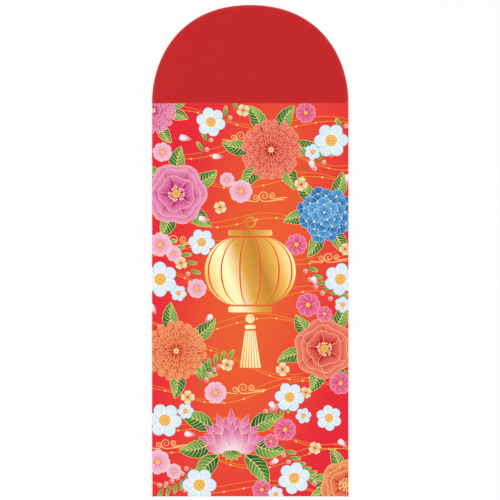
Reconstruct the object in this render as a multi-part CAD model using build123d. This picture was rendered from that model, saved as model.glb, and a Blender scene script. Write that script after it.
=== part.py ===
"""A red packet: a flat paper gift envelope with a round top flap, for banknotes.

One die-cut sheet of printed card is creased and folded into a pocket. The front panel carries, at
its left, a bend and the back panel; at its right, a bend and the side tab, which is pasted inside
the back panel; at its foot, a bend and the bottom flap, which is pasted outside the back panel;
and at its head, a scored crease and the round flap, which folds over backwards to close the mouth.

Frame: X across the packet, Y from its foot to its flap, Z out of the printed front. The packet lies
flat, open, on its back, and the origin is the middle of the back panel's outer face.
"""
from build123d import *
import os
from math import radians, sin

# Packet, in millimetres
body_width = 85.0
body_height = 170.0
paper = 0.2
pocket_gap = 0.8
paste = 0.05

# Top flap and its crease
flap_height = 42.5
flap_crown_share = 0.74
flap_shoulder_share = 0.43
crease_width = 1.2
score_radius = 0.07

# Remoistenable gum on the flap's inner face
gum = 0.04
gum_length = 38.0
gum_width = 7.0
gum_from_crease = 30.0

# Back panel, its mouth and the step that takes the bottom flap
mouth_drop = 4.0
seam_corner = 2.5
seam_gap = 0.5
step_length = 2.5
step_gap = 0.4
back_end_gap = 0.6

# Side tab and bottom flap
side_tab_width = 12.0
side_tab_taper = 9.0
side_tab_gap = 1.0
bottom_flap_depth = 16.0
bottom_flap_taper = 5.0
bottom_flap_corner = 2.0
corner_cut = 1.4
paste_margin = 1.5

# Gold foil lantern on the front
foil = 0.05
lantern_place = 12.5
lantern_width = 40.0
lantern_height = 29.0
lantern_neck = 17.0
gore_count = 7
gore_gap = 0.7
gore_fullness_share = 0.72
foil_gap = 0.7
cap_width = 19.0
cap_height = 2.6
cap_round_share = 0.35
loop_radius = 2.6
loop_wire = 0.9
bead_radius = 2.0
tassel_collar_width = 4.6
tassel_collar_height = 1.8
tassel_length = 16.0
tassel_spread = 9.5
strand_count = 7
strand_gap = 0.35

# Levels: the lower face of each layer of card
step_rise = paper + paste
tab_level = paper + paste
front_level = paper + pocket_gap
front_face = front_level + paper

# Bends: each wraps from the front panel round to the layer that it carries
wide_bend = pocket_gap / 2
close_bend = (pocket_gap - step_rise) / 2

# Edges of the packet and lines of its folds, seen from the front
left = -body_width / 2
right = body_width / 2
foot = -body_height / 2
crease = body_height / 2
panel_head = crease - crease_width / 2
flap_root = crease + crease_width / 2
mouth = crease - mouth_drop
left_line = left + wide_bend + paper
right_line = right - close_bend - paper
foot_line = foot + wide_bend + paper
relief = wide_bend + paper + corner_cut
flap_edge = foot + bottom_flap_depth
step_foot = flap_edge + step_gap
step_head = step_foot + step_length
back_foot = foot_line + back_end_gap
back_edge = right_line - seam_gap
tab_foot = step_head + side_tab_gap
tab_edge = right_line - side_tab_width


def block(x_from, x_to, y_from, y_to):
    """An upright rectangle, given by its four edges."""
    middle = Pos((x_from + x_to) / 2, (y_from + y_to) / 2)
    return middle * Rectangle(x_to - x_from, y_to - y_from)


def layer(outline, level, thickness):
    """A flat sheet with the given outline, lying on the given level."""
    return extrude(Pos(0, 0, level) * outline, amount=thickness, dir=(0, 0, 1))


def half_ring(inner):
    """The section of a bend in the card, bulging towards its own +X."""
    outside = CenterArc((0, 0), inner + paper, -90, 180)
    inside = CenterArc((0, 0), inner, -90, 180)
    foot_end = Line(outside @ 0, inside @ 0)
    head_end = Line(outside @ 1, inside @ 1)
    return make_face([outside, inside, foot_end, head_end])


def bend_section(x, y, inner, bulge, along):
    """A bend's section under the front panel, standing across the direction of the fold."""
    plane = Plane(origin=(x, y, front_level - inner), x_dir=bulge, z_dir=along)
    return plane * half_ring(inner)


def front_panel():
    """The printed front, with square corners left beside the bends."""
    outline = block(left, right, foot, panel_head)
    outline -= block(left, left_line, foot + relief, mouth)
    outline -= block(right_line, right, foot + relief, mouth)
    outline -= block(left + relief, right - relief, foot, foot_line)
    return layer(outline, front_level, paper)


def left_fold():
    """The bend to the back panel, which closes up where the back panel steps inwards."""
    pressed = [(foot + relief, close_bend), (step_foot, close_bend)]
    stations = [*pressed, (step_head, wide_bend), (mouth, wide_bend)]
    sections = [bend_section(left_line, y, inner, (-1, 0, 0), (0, 1, 0)) for y, inner in stations]
    return loft(sections, ruled=True)


def right_fold():
    """The bend to the side tab."""
    section = bend_section(right_line, mouth, close_bend, (1, 0, 0), (0, -1, 0))
    return extrude(section, amount=mouth - foot - relief, dir=(0, -1, 0))


def bottom_fold():
    """The bend to the bottom flap."""
    section = bend_section(right - relief, foot_line, wide_bend, (0, -1, 0), (-1, 0, 0))
    return extrude(section, amount=body_width - 2 * relief, dir=(-1, 0, 0))


def back_sheet(under):
    """Part of the back, as wide as the back, whose outer face follows the given line of (y, z) points."""
    over = [(y, z + paper) for y, z in reversed(under)]
    profile = make_face(Polyline(*under, *over, close=True))
    return extrude(Plane.YZ.offset(left_line) * profile, amount=back_edge - left_line, dir=(1, 0, 0))


def seam_corners(sheet):
    """The upright corner edges of a part of the back, beside the seam, from its foot to its head."""
    return sheet.edges().filter_by(Axis.Z).group_by(Axis.X)[-1].sort_by(Axis.Y)


def back_panel():
    """The flat back, from the step up to the mouth, with a round corner beside the seam."""
    sheet = back_sheet([(step_head, 0), (mouth, 0)])
    return fillet(seam_corners(sheet)[-1], seam_corner)


def back_step():
    """The foot of the back, pressed inwards so that the bottom flap lies flush with the back panel."""
    sheet = back_sheet([(back_foot, step_rise), (step_foot, step_rise), (step_head, 0)])
    return fillet(seam_corners(sheet)[0], seam_corner)


def side_tab_outline(margin):
    """The side tab with its slanted ends, drawn in by a margin on the three sides that lie free."""
    head = mouth - margin
    base = tab_foot + margin
    edge = tab_edge + margin
    root = right_line
    points = [(root, base), (root, head), (edge, head - side_tab_taper), (edge, base + side_tab_taper)]
    return make_face(Polyline(*points, close=True))


def bottom_flap_outline():
    """The bottom flap: slanted sides and round corners at its free edge."""
    wide = body_width / 2 - relief
    narrow = wide - bottom_flap_taper
    points = [(-wide, foot_line), (wide, foot_line), (narrow, flap_edge), (-narrow, flap_edge)]
    outline = make_face(Polyline(*points, close=True))
    return fillet(outline.vertices().group_by(Axis.Y)[-1], bottom_flap_corner)


def side_seam_paste():
    """The line of paste between the side tab and the back panel."""
    strip = block(tab_edge + paste_margin, back_edge - paste_margin, tab_foot, mouth)
    return layer(strip & side_tab_outline(paste_margin), paper, paste)


def bottom_flap_paste():
    """The line of paste between the bottom flap and the back panel's step."""
    reach = body_width / 2 - relief - bottom_flap_taper - paste_margin
    strip = block(-reach, reach, back_foot + paste_margin, flap_edge - paste_margin)
    return layer(strip, paper, paste)


def top_crease():
    """The scored strip on which the flap bends, with its groove on the outside."""
    strip = layer(block(left, right, panel_head, flap_root), front_level, paper)
    groove = Pos(0, crease, front_face) * Rot(0, 90, 0) * Cylinder(score_radius, body_width)
    return strip - groove


def top_flap():
    """The round flap: upright at its shoulders and level at its crown."""
    half = body_width / 2
    crown = crease + flap_height
    rise = crown - flap_root
    sides = []
    for way in (1, -1):
        shoulder = (way * half, flap_root)
        upright = (way * half, flap_root + rise * flap_shoulder_share)
        level = (way * half * flap_crown_share, crown)
        sides.append(Bezier(shoulder, upright, level, (0, crown)))
    root = Line((-half, flap_root), (half, flap_root))
    return layer(make_face([root, *sides]), front_level, paper)


def flap_gum_strip():
    """The band of gum inside the flap, with round ends."""
    band = Pos(0, crease + gum_from_crease) * SlotOverall(gum_length, gum_width)
    return layer(band, front_level - gum, gum)


def gore_edge(turn, inset):
    """One side of a lantern gore, from the neck round the belly to the lower neck."""
    half = lantern_height / 2
    belly = (sin(radians(turn)) * lantern_width + inset) / 2
    neck = belly * lantern_neck / lantern_width
    handle = (4 * belly - neck) / 3
    full = half * gore_fullness_share
    return Bezier((neck, half), (handle, full), (handle, -full), (neck, -half))


def foil_lantern():
    """The lantern's body: gores of foil seen round a ball, so they narrow towards its sides."""
    gores = []
    step = 180 / gore_count
    for number in range(gore_count):
        turn = number * step - 90
        near = gore_edge(turn, gore_gap)
        far = gore_edge(turn + step, -gore_gap)
        gore = make_face([near, far, Line(near @ 0, far @ 0), Line(near @ 1, far @ 1)])
        gores.append(layer(Pos(0, lantern_place) * gore, front_face, foil))
    return gores


def foil_caps():
    """The lantern's upper and lower caps, and the loop that it hangs by."""
    cap = RectangleRounded(cap_width, cap_height, cap_height * cap_round_share)
    rise = lantern_height / 2 + foil_gap + cap_height / 2
    loop = Circle(loop_radius) - Circle(loop_radius - loop_wire)
    loop_rise = rise + cap_height / 2 + foil_gap + loop_radius
    shapes = [(cap, rise), (cap, -rise), (loop, loop_rise)]
    return [layer(Pos(0, lantern_place + y) * shape, front_face, foil) for shape, y in shapes]


def foil_tassel():
    """The bead, the collar and the fanned strands under the lantern."""
    bead_place = lantern_place - lantern_height / 2 - cap_height - 2 * foil_gap - bead_radius
    collar_place = bead_place - bead_radius - foil_gap - tassel_collar_height / 2
    head = collar_place - tassel_collar_height / 2 - foil_gap
    bead = Pos(0, bead_place) * Circle(bead_radius)
    collar_round = tassel_collar_height * cap_round_share
    collar = RectangleRounded(tassel_collar_width, tassel_collar_height, collar_round)
    shapes = [bead, Pos(0, collar_place) * collar]
    near = tassel_collar_width / strand_count
    far = tassel_spread / strand_count
    gap_share = strand_gap / far
    for number in range(strand_count):
        place = number - (strand_count - 1) / 2
        span = (1 - gap_share) / 2
        top = [((place - span) * near, head), ((place + span) * near, head)]
        tip = [((place + span) * far, head - tassel_length), ((place - span) * far, head - tassel_length)]
        shapes.append(make_face(Polyline(*top, *tip, close=True)))
    return [layer(shape, front_face, foil) for shape in shapes]


pieces = {
    "front_panel": front_panel(),
    "left_fold": left_fold(),
    "back_panel": back_panel(),
    "back_step": back_step(),
    "right_fold": right_fold(),
    "side_tab": layer(side_tab_outline(0), tab_level, paper),
    "side_seam_paste": side_seam_paste(),
    "bottom_fold": bottom_fold(),
    "bottom_flap": layer(bottom_flap_outline(), 0, paper),
    "bottom_flap_paste": bottom_flap_paste(),
    "top_crease": top_crease(),
    "top_flap": top_flap(),
    "flap_gum_strip": flap_gum_strip(),
    "foil_lantern": Compound(foil_lantern()),
    "foil_caps": Compound(foil_caps()),
    "foil_tassel": Compound(foil_tassel()),
}

os.makedirs("parts", exist_ok=True)
for name, shape in pieces.items():
    export_step(shape, f"parts/{name}.step")
    print(name, len(shape.solids()), "solids", round(shape.volume, 2), "mm3")
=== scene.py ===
# %% [markdown]
# # A red packet, made in the order that a print shop makes it
# A red packet starts as one flat sheet of card. The sheet is printed, stamped with gold foil, cut to
# shape, creased, folded into a pocket and pasted. This lesson follows the same order: the sheet is
# drawn flat in millimetres, its ink is laid on as outlines, and one function then folds every point.
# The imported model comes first, because every fold line and level is read from it.

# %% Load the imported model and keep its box
import math

import bpy
import numpy as np
from mathutils import Color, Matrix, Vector
from mathutils.bvhtree import BVHTree
from mathutils.geometry import delaunay_2d_cdt


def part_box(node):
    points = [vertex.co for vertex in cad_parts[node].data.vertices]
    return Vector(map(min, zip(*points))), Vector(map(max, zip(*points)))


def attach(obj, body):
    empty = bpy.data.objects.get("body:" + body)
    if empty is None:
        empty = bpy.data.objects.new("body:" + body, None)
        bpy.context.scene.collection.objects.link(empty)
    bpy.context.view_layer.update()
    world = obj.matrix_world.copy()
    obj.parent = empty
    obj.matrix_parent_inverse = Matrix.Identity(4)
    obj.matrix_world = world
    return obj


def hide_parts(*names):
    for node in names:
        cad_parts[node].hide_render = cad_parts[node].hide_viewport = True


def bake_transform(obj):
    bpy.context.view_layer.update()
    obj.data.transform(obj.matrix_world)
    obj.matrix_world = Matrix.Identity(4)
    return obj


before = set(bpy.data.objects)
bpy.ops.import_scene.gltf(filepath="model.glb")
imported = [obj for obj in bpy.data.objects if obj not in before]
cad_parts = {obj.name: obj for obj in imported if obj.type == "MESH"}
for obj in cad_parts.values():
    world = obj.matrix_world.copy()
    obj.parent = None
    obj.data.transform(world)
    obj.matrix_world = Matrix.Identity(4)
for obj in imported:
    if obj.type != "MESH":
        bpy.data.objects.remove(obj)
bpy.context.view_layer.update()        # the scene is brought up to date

MM = 0.001
print("nodes:", ", ".join(sorted(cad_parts)))

# %% [markdown]
# ## The sizes of the flat sheet
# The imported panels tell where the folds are. The front panel gives the outside, each bend's inner
# edge gives a fold line, and the flat parts give the levels at which the card lies. All of this could
# be typed in again, but sizes that are read from the model cannot drift away from it.

# %% Fold lines and levels, in millimetres


def corners(node):
    """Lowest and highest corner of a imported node, in millimetres."""
    low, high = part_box(node)
    return np.array(low) / MM, np.array(high) / MM


LEFT, FOOT, CARD_UNDER = corners("front_panel")[0]
RIGHT, PANEL_HEAD, CARD_FACE = corners("front_panel")[1]
CARD = CARD_FACE - CARD_UNDER
CARD_LEVEL = (CARD_UNDER + CARD_FACE) / 2
FLAP_ROOT = corners("top_flap")[0][1]
CROWN = corners("top_flap")[1][1]
CREASE = (PANEL_HEAD + FLAP_ROOT) / 2
LEFT_LINE = corners("left_fold")[1][0]
MOUTH = corners("left_fold")[1][1]
RELIEF = corners("left_fold")[0][1] - FOOT
RIGHT_LINE = corners("right_fold")[0][0]
FOOT_LINE = corners("bottom_fold")[1][1]
STEP_HEAD = corners("back_panel")[0][1]
BACK_FOOT = corners("back_step")[0][1]
BACK_WIDTH = corners("back_panel")[1][0] - LEFT_LINE
FLAP_EDGE = corners("bottom_flap")[1][1]
TAB_FOOT = corners("side_tab")[0][1]
TAB_WIDTH = RIGHT_LINE - corners("side_tab")[0][0]
STEP_RISE = corners("back_step")[1][2] - CARD
body_size = np.round((RIGHT - LEFT, CREASE - FOOT), 2)
print("body", body_size, "mm, flap", round(CROWN - CREASE, 2), "mm, card", round(CARD, 2), "mm")

# %% Bends
# the back's middle lies half a card over the table, so a bend spans the rest up to the front's middle
WIDE_BEND = CARD_LEVEL / 2 - CARD / 4
CLOSE_BEND = WIDE_BEND - STEP_RISE / 2
WIDE_ARC = math.pi * WIDE_BEND
CLOSE_ARC = math.pi * CLOSE_BEND
print("bends at the middle of the card:", round(WIDE_BEND, 3), "and", round(CLOSE_BEND, 3), "mm")

# %% [markdown]
# ## The camera
# The packet is seen straight from the front, so the camera looks down on it through a long lens. A
# camera without perspective could do that too, but a lens also shows the folded flap as an eye would.
# The frame is placed by three lines of the photograph: the two sides of the body and the crease.

# %% The camera over the front
FRAME_PX = 500
BODY_LEFT_PX = 151.95
BODY_RIGHT_PX = 348.5
CREASE_PX = 103.5
# focal length and width of the sensor in mm
LENS = 100.0
SENSOR = 36.0

mm_per_px = (RIGHT - LEFT) / (BODY_RIGHT_PX - BODY_LEFT_PX)
aim_x = (FRAME_PX / 2 - (BODY_LEFT_PX + BODY_RIGHT_PX) / 2) * mm_per_px
aim_y = CREASE - (FRAME_PX / 2 - CREASE_PX) * mm_per_px
camera_rise = FRAME_PX * mm_per_px * LENS / SENSOR

camera = bpy.data.objects.new("camera", bpy.data.cameras.new("camera"))
camera.data.lens = LENS
camera.data.sensor_width = SENSOR
camera.location = Vector((aim_x, aim_y, CARD_FACE + camera_rise)) * MM
bpy.context.scene.collection.objects.link(camera)
bpy.context.scene.camera = camera
bpy.context.scene.view_settings.view_transform = "Standard"
print("camera", round(camera_rise), "mm above the card, at", round(mm_per_px, 4), "mm a pixel")

# %% [markdown]
# ## Floor and light
# A pale floor takes the shadow. Three soft boxes and an even sky light it at a plain level, so that
# ink renders about as it is written. One bright lamp could do it, but its glare would bleach the coat
# and its shadow would be hard. Seen from below, the floor is clear, so that the back of the packet can
# be looked at, and close under the card it also lets the light through.

# %% Helpers for nodes


def wire(tree, *links):
    """Join sockets in a node tree, each pair given as (from, to)."""
    for source, target in links:
        tree.links.new(source, target)


def give(tree, socket, value):
    """Link a socket to an input, or set the input to a plain value."""
    if isinstance(value, bpy.types.NodeSocket):
        tree.links.new(value, socket)
    else:
        socket.default_value = value


def math_node(tree, operation, first, second=0.0):
    """A Math node on two sockets or numbers; returns its output."""
    node = tree.nodes.new("ShaderNodeMath")
    node.operation = operation
    give(tree, node.inputs[0], first)
    give(tree, node.inputs[1], second)
    return node.outputs[0]


print("helpers for nodes: wire, give, math_node")

# %% Helpers for the floor and the sky


def empty_tree(owner):
    """Switch a material or world to nodes, and clear its tree."""
    owner.use_nodes = True
    owner.node_tree.nodes.clear()
    return owner.node_tree


def seen_directly(tree, path):
    """1 for rays from the eye, straight or by way of metal or glass, and 0 for all others."""
    kinds = ("Is Camera Ray", "Is Glossy Ray", "Is Transmission Ray")
    eye, metal, glass = (path.outputs[kind] for kind in kinds)
    return math_node(tree, "MAXIMUM", eye, math_node(tree, "MAXIMUM", metal, glass))


def join_shaders(tree, node, share, first, second):
    """Let a Mix Shader go from one shader to another by a share."""
    for number, source in enumerate((share, first.outputs[0], second.outputs[0])):
        wire(tree, (source, node.inputs[number]))


print("helpers for the floor and the sky: empty_tree, seen_directly, join_shaders")

# %% The look of the floor
FLOOR_TONE = 0.95
# how far the floor is lifted to white for the eye; the rest keeps the shadow
FLOOR_LIFT = 0.8
# a ray that meets the floor within this length, in metres, goes through it
FLOOR_REACH_THROUGH = 0.02


def make_pale_floor():
    """A pale matte tone, clear from below and clear to rays that start close above it."""
    material = bpy.data.materials.new("pale_floor")
    tree = empty_tree(material)
    matte = tree.nodes.new("ShaderNodeBsdfDiffuse")
    matte.inputs["Color"].default_value = (FLOOR_TONE, FLOOR_TONE, FLOOR_TONE, 1)
    glow = tree.nodes.new("ShaderNodeEmission")
    clear = tree.nodes.new("ShaderNodeBsdfTransparent")
    path = tree.nodes.new("ShaderNodeLightPath")
    side = tree.nodes.new("ShaderNodeNewGeometry")
    shown = tree.nodes.new("ShaderNodeMixShader")
    whole = tree.nodes.new("ShaderNodeMixShader")
    out = tree.nodes.new("ShaderNodeOutputMaterial")
    lift = math_node(tree, "MULTIPLY", seen_directly(tree, path), FLOOR_LIFT)
    close = math_node(tree, "LESS_THAN", path.outputs["Ray Length"], FLOOR_REACH_THROUGH)
    through = math_node(tree, "MAXIMUM", close, side.outputs["Backfacing"])
    join_shaders(tree, shown, lift, matte, glow)
    join_shaders(tree, whole, through, shown, clear)
    wire(tree, (whole.outputs[0], out.inputs["Surface"]))
    return material


pale_floor = make_pale_floor()
print("the floor's tone is", FLOOR_TONE, "and it is lifted by", FLOOR_LIFT, "for the eye")

# %% The floor
# half its side in metres, and its depth under the packet in millimetres
FLOOR_HALF = 4.0
FLOOR_DROP = 0.04


def make_floor():
    """A wide square under the packet."""
    half, drop = FLOOR_HALF, -FLOOR_DROP * MM
    mesh = bpy.data.meshes.new("floor")
    spots = [(-half, -half, drop), (half, -half, drop), (half, half, drop), (-half, half, drop)]
    mesh.from_pydata(spots, [], [(0, 1, 2, 3)])
    mesh.materials.append(pale_floor)
    floor = bpy.data.objects.new("floor", mesh)
    bpy.context.scene.collection.objects.link(floor)


make_floor()
print("floor", FLOOR_DROP, "mm under the packet")

# %% The lamps
# place and side in metres, power in watts
LAMPS = {
    "window_lamp": ((-0.75, 0.55, 0.85), 0.9, 7.9),
    "room_lamp": ((0.85, -0.25, 0.9), 1.1, 5.6),
    "foot_lamp": ((-0.1, -0.95, 0.75), 1.0, 3.0),
}


def make_lamp(name, place, side, power):
    """A square soft box that faces the middle of the packet."""
    lamp = bpy.data.objects.new(name, bpy.data.lights.new(name, "AREA"))
    lamp.data.size = side
    lamp.data.energy = power
    lamp.location = place
    aim = Vector((0, aim_y * MM, 0)) - Vector(place)
    lamp.rotation_euler = aim.to_track_quat("-Z", "Y").to_euler()
    bpy.context.scene.collection.objects.link(lamp)


for lamp_name, lamp_facts in LAMPS.items():
    make_lamp(lamp_name, *lamp_facts)
print("lamps:", ", ".join(LAMPS))

# %% The sky
WORLD_ABOVE = 0.36
WORLD_BELOW = 1.0


def make_sky():
    """Even light, softer from above than from below, and white to the eye and in reflections."""
    world = bpy.data.worlds.new("studio")
    tree = empty_tree(world)
    where = tree.nodes.new("ShaderNodeTexCoord")
    split = tree.nodes.new("ShaderNodeSeparateXYZ")
    path = tree.nodes.new("ShaderNodeLightPath")
    sky = tree.nodes.new("ShaderNodeBackground")
    sky.inputs["Color"].default_value = (1, 1, 1, 1)
    out = tree.nodes.new("ShaderNodeOutputWorld")
    below = math_node(tree, "LESS_THAN", split.outputs["Z"], 0.0)
    extra = math_node(tree, "MULTIPLY", below, WORLD_BELOW - WORLD_ABOVE)
    level = math_node(tree, "ADD", extra, WORLD_ABOVE)
    strength = math_node(tree, "MAXIMUM", level, seen_directly(tree, path))
    wire(tree, (where.outputs["Generated"], split.inputs[0]), (strength, sky.inputs["Strength"]))
    wire(tree, (sky.outputs[0], out.inputs["Surface"]))
    bpy.context.scene.world = world


make_sky()
print("the sky gives a level of", WORLD_ABOVE, "from above and", WORLD_BELOW, "from below")

# %% [markdown]
# ## Folding the sheet
# Card bends on a small radius and stays flat between the bends. A bend modifier could turn one fold,
# but here three folds share two corners. So a point of the flat sheet is carried to its place by its
# distance past a fold line: round a half circle first, and then back along the other side. The left
# bend closes up where the back steps in to make room for the bottom flap, and beside each end of a
# bend the card eases back to flat, as it does when it is cut there.

# %% How far a bend is closed
# the stretch beside the end of a bend that eases back to flat, in mm
EAR_EASE = 1.3
# the radius is divided by the hold, so the hold never quite ends
LEAST_HOLD = 0.001


def ease(share):
    """A smooth step from 0 to 1."""
    share = np.clip(share, 0, 1)
    return share * share * (3 - 2 * share)


def side_hold(v):
    """How far a side bend is closed along the packet: fully between its ends, and not beyond them."""
    foot_end = ease((v - FOOT - RELIEF + EAR_EASE) / EAR_EASE)
    head_end = ease((MOUTH + EAR_EASE - v) / EAR_EASE)
    return np.maximum(foot_end * head_end, LEAST_HOLD)


def foot_hold(u):
    """The same for the bend at the foot, across the packet."""
    return np.maximum(ease((RIGHT - RELIEF + EAR_EASE - np.abs(u)) / EAR_EASE), LEAST_HOLD)


middle_hold, crease_hold = side_hold(np.array([0.0, CREASE]))
print("a side bend is closed by", middle_hold, "in the middle and by", crease_hold, "at the crease")

# %% One bend
# the slope of the step in the back, in mm
STEP_LENGTH = 2.5


def left_radius(v):
    """The left bend's radius, smaller where the back is pressed in."""
    return WIDE_BEND - (WIDE_BEND - CLOSE_BEND) * np.clip((STEP_HEAD - v) / STEP_LENGTH, 0, 1)


def roll(past, radius, arc, hold):
    """Run a distance past a fold line round a bend: how far out, how far down, and the angle turned."""
    turn = np.clip(past / arc, 0, 1) * math.pi * hold
    out = radius / hold * np.sin(turn) - np.maximum(past - arc, 0)
    down = radius / hold * (1 - np.cos(turn))
    return out, down, turn


half_turn = roll(np.array([WIDE_ARC]), WIDE_BEND, WIDE_ARC, 1.0)
print("after the wide bend the card lies", round(float(half_turn[1][0]), 2), "mm lower")

# %% [markdown]
# A pocket of card is never quite flat. The front swells a little between its folds, with a faint
# cockle, and a flap that was folded once keeps a slight curl. A physics simulation could give this
# too, but a formula is exact at the folds, where the card is held.

# %% The swell of the front and the curl of the flap
# heights in millimetres
PILLOW = 0.55
COCKLE = 0.05
FLAP_CURL = 0.7
# radians for each mm across, radians for each mm along, and a lead in radians
COCKLE_WAVES = ((0.19, 0.06, 0.0), (-0.05, 0.11, 1.0))


def swell(u, v):
    """Height of the front and the flap over the flat card; nothing at the folds."""
    across = np.clip((u - LEFT_LINE) / (RIGHT_LINE - LEFT_LINE), 0, 1)
    along = np.clip((v - FOOT_LINE) / (PANEL_HEAD - FOOT_LINE), 0, 1)
    free = np.sqrt(np.sin(math.pi * along)) * np.sin(math.pi * across)
    waves = sum(np.sin(u * per_u + v * per_v + lead) for per_u, per_v, lead in COCKLE_WAVES)
    flap = np.clip((v - FLAP_ROOT) / (CROWN - FLAP_ROOT), 0, 1)
    return free * (PILLOW + COCKLE * waves) + FLAP_CURL * flap * flap


middle_rise = float(swell(np.zeros(1), np.zeros(1))[0])
print("the middle of the front stands", round(middle_rise, 2), "mm over its folds")

# %% The whole fold


def fold_up(flat):
    """Carry flat points to the middle of the folded card; returns places and outward directions."""
    u, v = flat[:, 0], flat[:, 1]
    x, y = u.copy(), v.copy()
    z = CARD_LEVEL + swell(u, v)
    lean_x, lean_y = np.zeros(len(u)), np.zeros(len(u))
    left_side = (LEFT_LINE, -1, left_radius(v), WIDE_ARC)
    right_side = (RIGHT_LINE, 1, np.full(len(v), CLOSE_BEND), CLOSE_ARC)
    for line, way, radius, arc in (left_side, right_side):
        past = (u - line) * way
        hold = np.where(past > arc / 2, 1.0, side_hold(v))
        out, down, turn = roll(past, radius, arc, hold)
        x = np.where(past > 0, line + way * out, x)
        z = np.where(past > 0, z - down, z)
        lean_x = np.where(past > 0, way * turn, lean_x)
    past = FOOT_LINE - v
    out, down, turn = roll(past, WIDE_BEND, WIDE_ARC, foot_hold(u))
    y = np.where(past > 0, FOOT_LINE - out, y)
    z = np.where(past > 0, z - down, z)
    lean_y = np.where(past > 0, -turn, lean_y)
    outward = np.column_stack([np.sin(lean_x), np.sin(lean_y), np.cos(lean_x) * np.cos(lean_y)])
    return np.column_stack([x, y, z]), outward / np.linalg.norm(outward, axis=1)[:, None]


crown_place = fold_up(np.array([[0.0, CROWN]]))[0][0]
print("the crown of the flap comes to lie at", np.round(crown_place, 2), "mm")

# %% [markdown]
# ## The die line
# The cutting die is one closed outline: the flap, the ears beside the mouth, the back with its seam
# edge, the notches at the foot, the bottom flap and the side tab. It could be traced from the packed
# panels, but they are folded already, so it is worked out afresh from the fold lines. Only the slants
# and round corners of the tabs have to be said again, because a box cannot show them. The outline is
# drawn anticlockwise on the flat sheet, with the curved stretches as Bezier curves.

# %% Curves


def bezier(a, b, c, d, count):
    """Points along a cubic curve."""
    t = np.linspace(0, 1, count)[:, None]
    s = 1 - t
    a, b, c, d = (np.asarray(p, float) for p in (a, b, c, d))
    return s ** 3 * a + 3 * s * s * t * b + 3 * s * t * t * c + t ** 3 * d


def rounded(before, corner, after, radius, count=7):
    """A corner replaced by a curve that starts and ends one radius away from it."""
    before, corner, after = (np.asarray(p, float) for p in (before, corner, after))
    start = corner + (before - corner) * radius / np.linalg.norm(before - corner)
    end = corner + (after - corner) * radius / np.linalg.norm(after - corner)
    return bezier(start, (start + 2 * corner) / 3, (end + 2 * corner) / 3, end, count)


def finely(path, most, closed=True):
    """The same path with points added so that no run is longer than the given length."""
    ends = np.roll(path, -1, 0) if closed else path[1:]
    runs = []
    for start, end in zip(path, ends):
        count = max(1, math.ceil(np.linalg.norm(end - start) / most))
        runs.append(start + (end - start) * np.arange(count)[:, None] / count)
    return np.vstack(runs if closed else runs + [path[-1:]])


unit_corner = rounded((0, 1), (0, 0), (1, 0), 1)
print("a corner rounded by 1 mm passes", np.round(unit_corner[len(unit_corner) // 2], 3), "mm from it")

# %% The curve of the flap
# the handles of the curve, as shares of the flap's half width and of its rise
FLAP_CROWN_SHARE = 0.74
FLAP_SHOULDER_SHARE = 0.43


def flap_curve(way, count=40):
    """One half of the round flap, from its shoulder up to its crown; way is 1 right, -1 left."""
    rise = CROWN - FLAP_ROOT
    half = RIGHT * way
    shoulder = (half, FLAP_ROOT + rise * FLAP_SHOULDER_SHARE)
    return bezier((half, FLAP_ROOT), shoulder, (half * FLAP_CROWN_SHARE, CROWN), (0, CROWN), count)


print("the flap's curve ends at", np.round(flap_curve(1)[-1], 2))

# %% The outline of the blank
# all in mm
SEAM_CORNER = 2.5
SIDE_TAB_TAPER = 9.0
BOTTOM_FLAP_TAPER = 5.0
BOTTOM_FLAP_CORNER = 2.0
DIE_STEP = 3.0


def die_line():
    """The blank's outline, anticlockwise from the flap's right shoulder."""
    back_line = LEFT_LINE - WIDE_ARC
    seam = back_line - BACK_WIDTH
    tab_line = RIGHT_LINE + CLOSE_ARC
    tab_edge = tab_line + TAB_WIDTH
    flap_line = FOOT_LINE - WIDE_ARC
    flap_tip = flap_line - (FLAP_EDGE - FOOT_LINE)
    notch = FOOT + RELIEF
    bench = RIGHT - RELIEF
    tip = bench - BOTTOM_FLAP_TAPER
    return np.vstack([
        flap_curve(1),
        flap_curve(-1)[::-1][1:],
        [(LEFT, MOUTH)],
        rounded((LEFT, MOUTH), (seam, MOUTH), (seam, FOOT), SEAM_CORNER),
        rounded((seam, MOUTH), (seam, BACK_FOOT), (LEFT, BACK_FOOT), SEAM_CORNER),
        [(back_line, BACK_FOOT), (back_line, notch), (LEFT, notch), (LEFT, FOOT)],
        [(-bench, FOOT), (-bench, flap_line)],
        rounded((-bench, flap_line), (-tip, flap_tip), (tip, flap_tip), BOTTOM_FLAP_CORNER),
        rounded((-tip, flap_tip), (tip, flap_tip), (bench, flap_line), BOTTOM_FLAP_CORNER),
        [(bench, flap_line), (bench, FOOT), (RIGHT, FOOT), (RIGHT, notch), (tab_line, notch)],
        [(tab_line, TAB_FOOT), (tab_edge, TAB_FOOT + SIDE_TAB_TAPER)],
        [(tab_edge, MOUTH - SIDE_TAB_TAPER), (tab_line, MOUTH), (RIGHT, MOUTH)],
    ])


blank = finely(die_line(), DIE_STEP)
blank_size = np.round(np.ptp(blank, axis=0), 1)
print("the blank measures", blank_size, "mm, with", len(blank), "points round it")

# %% [markdown]
# ## Ink on the flat sheet
# A printed design could be an image, or noise in a shader, but an image has a fixed sharpness and
# noise cannot draw a petal. Here each patch of ink is an outline with two colours, and later the
# outlines are cut into the mesh itself, so the print stays sharp at any size. A patch that is laid
# down later covers the earlier ones, as on a press. Colours are written as they look on screen.

# %% Inks


def colour(red, green, blue):
    """A colour as it looks on screen, in the linear values that a shader works in."""
    return np.array(Color((red / 255, green / 255, blue / 255)).from_srgb_to_scene_linear())


def mix(one, other, share):
    """A colour, or a place, between two others."""
    return one + (other - one) * share


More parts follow.
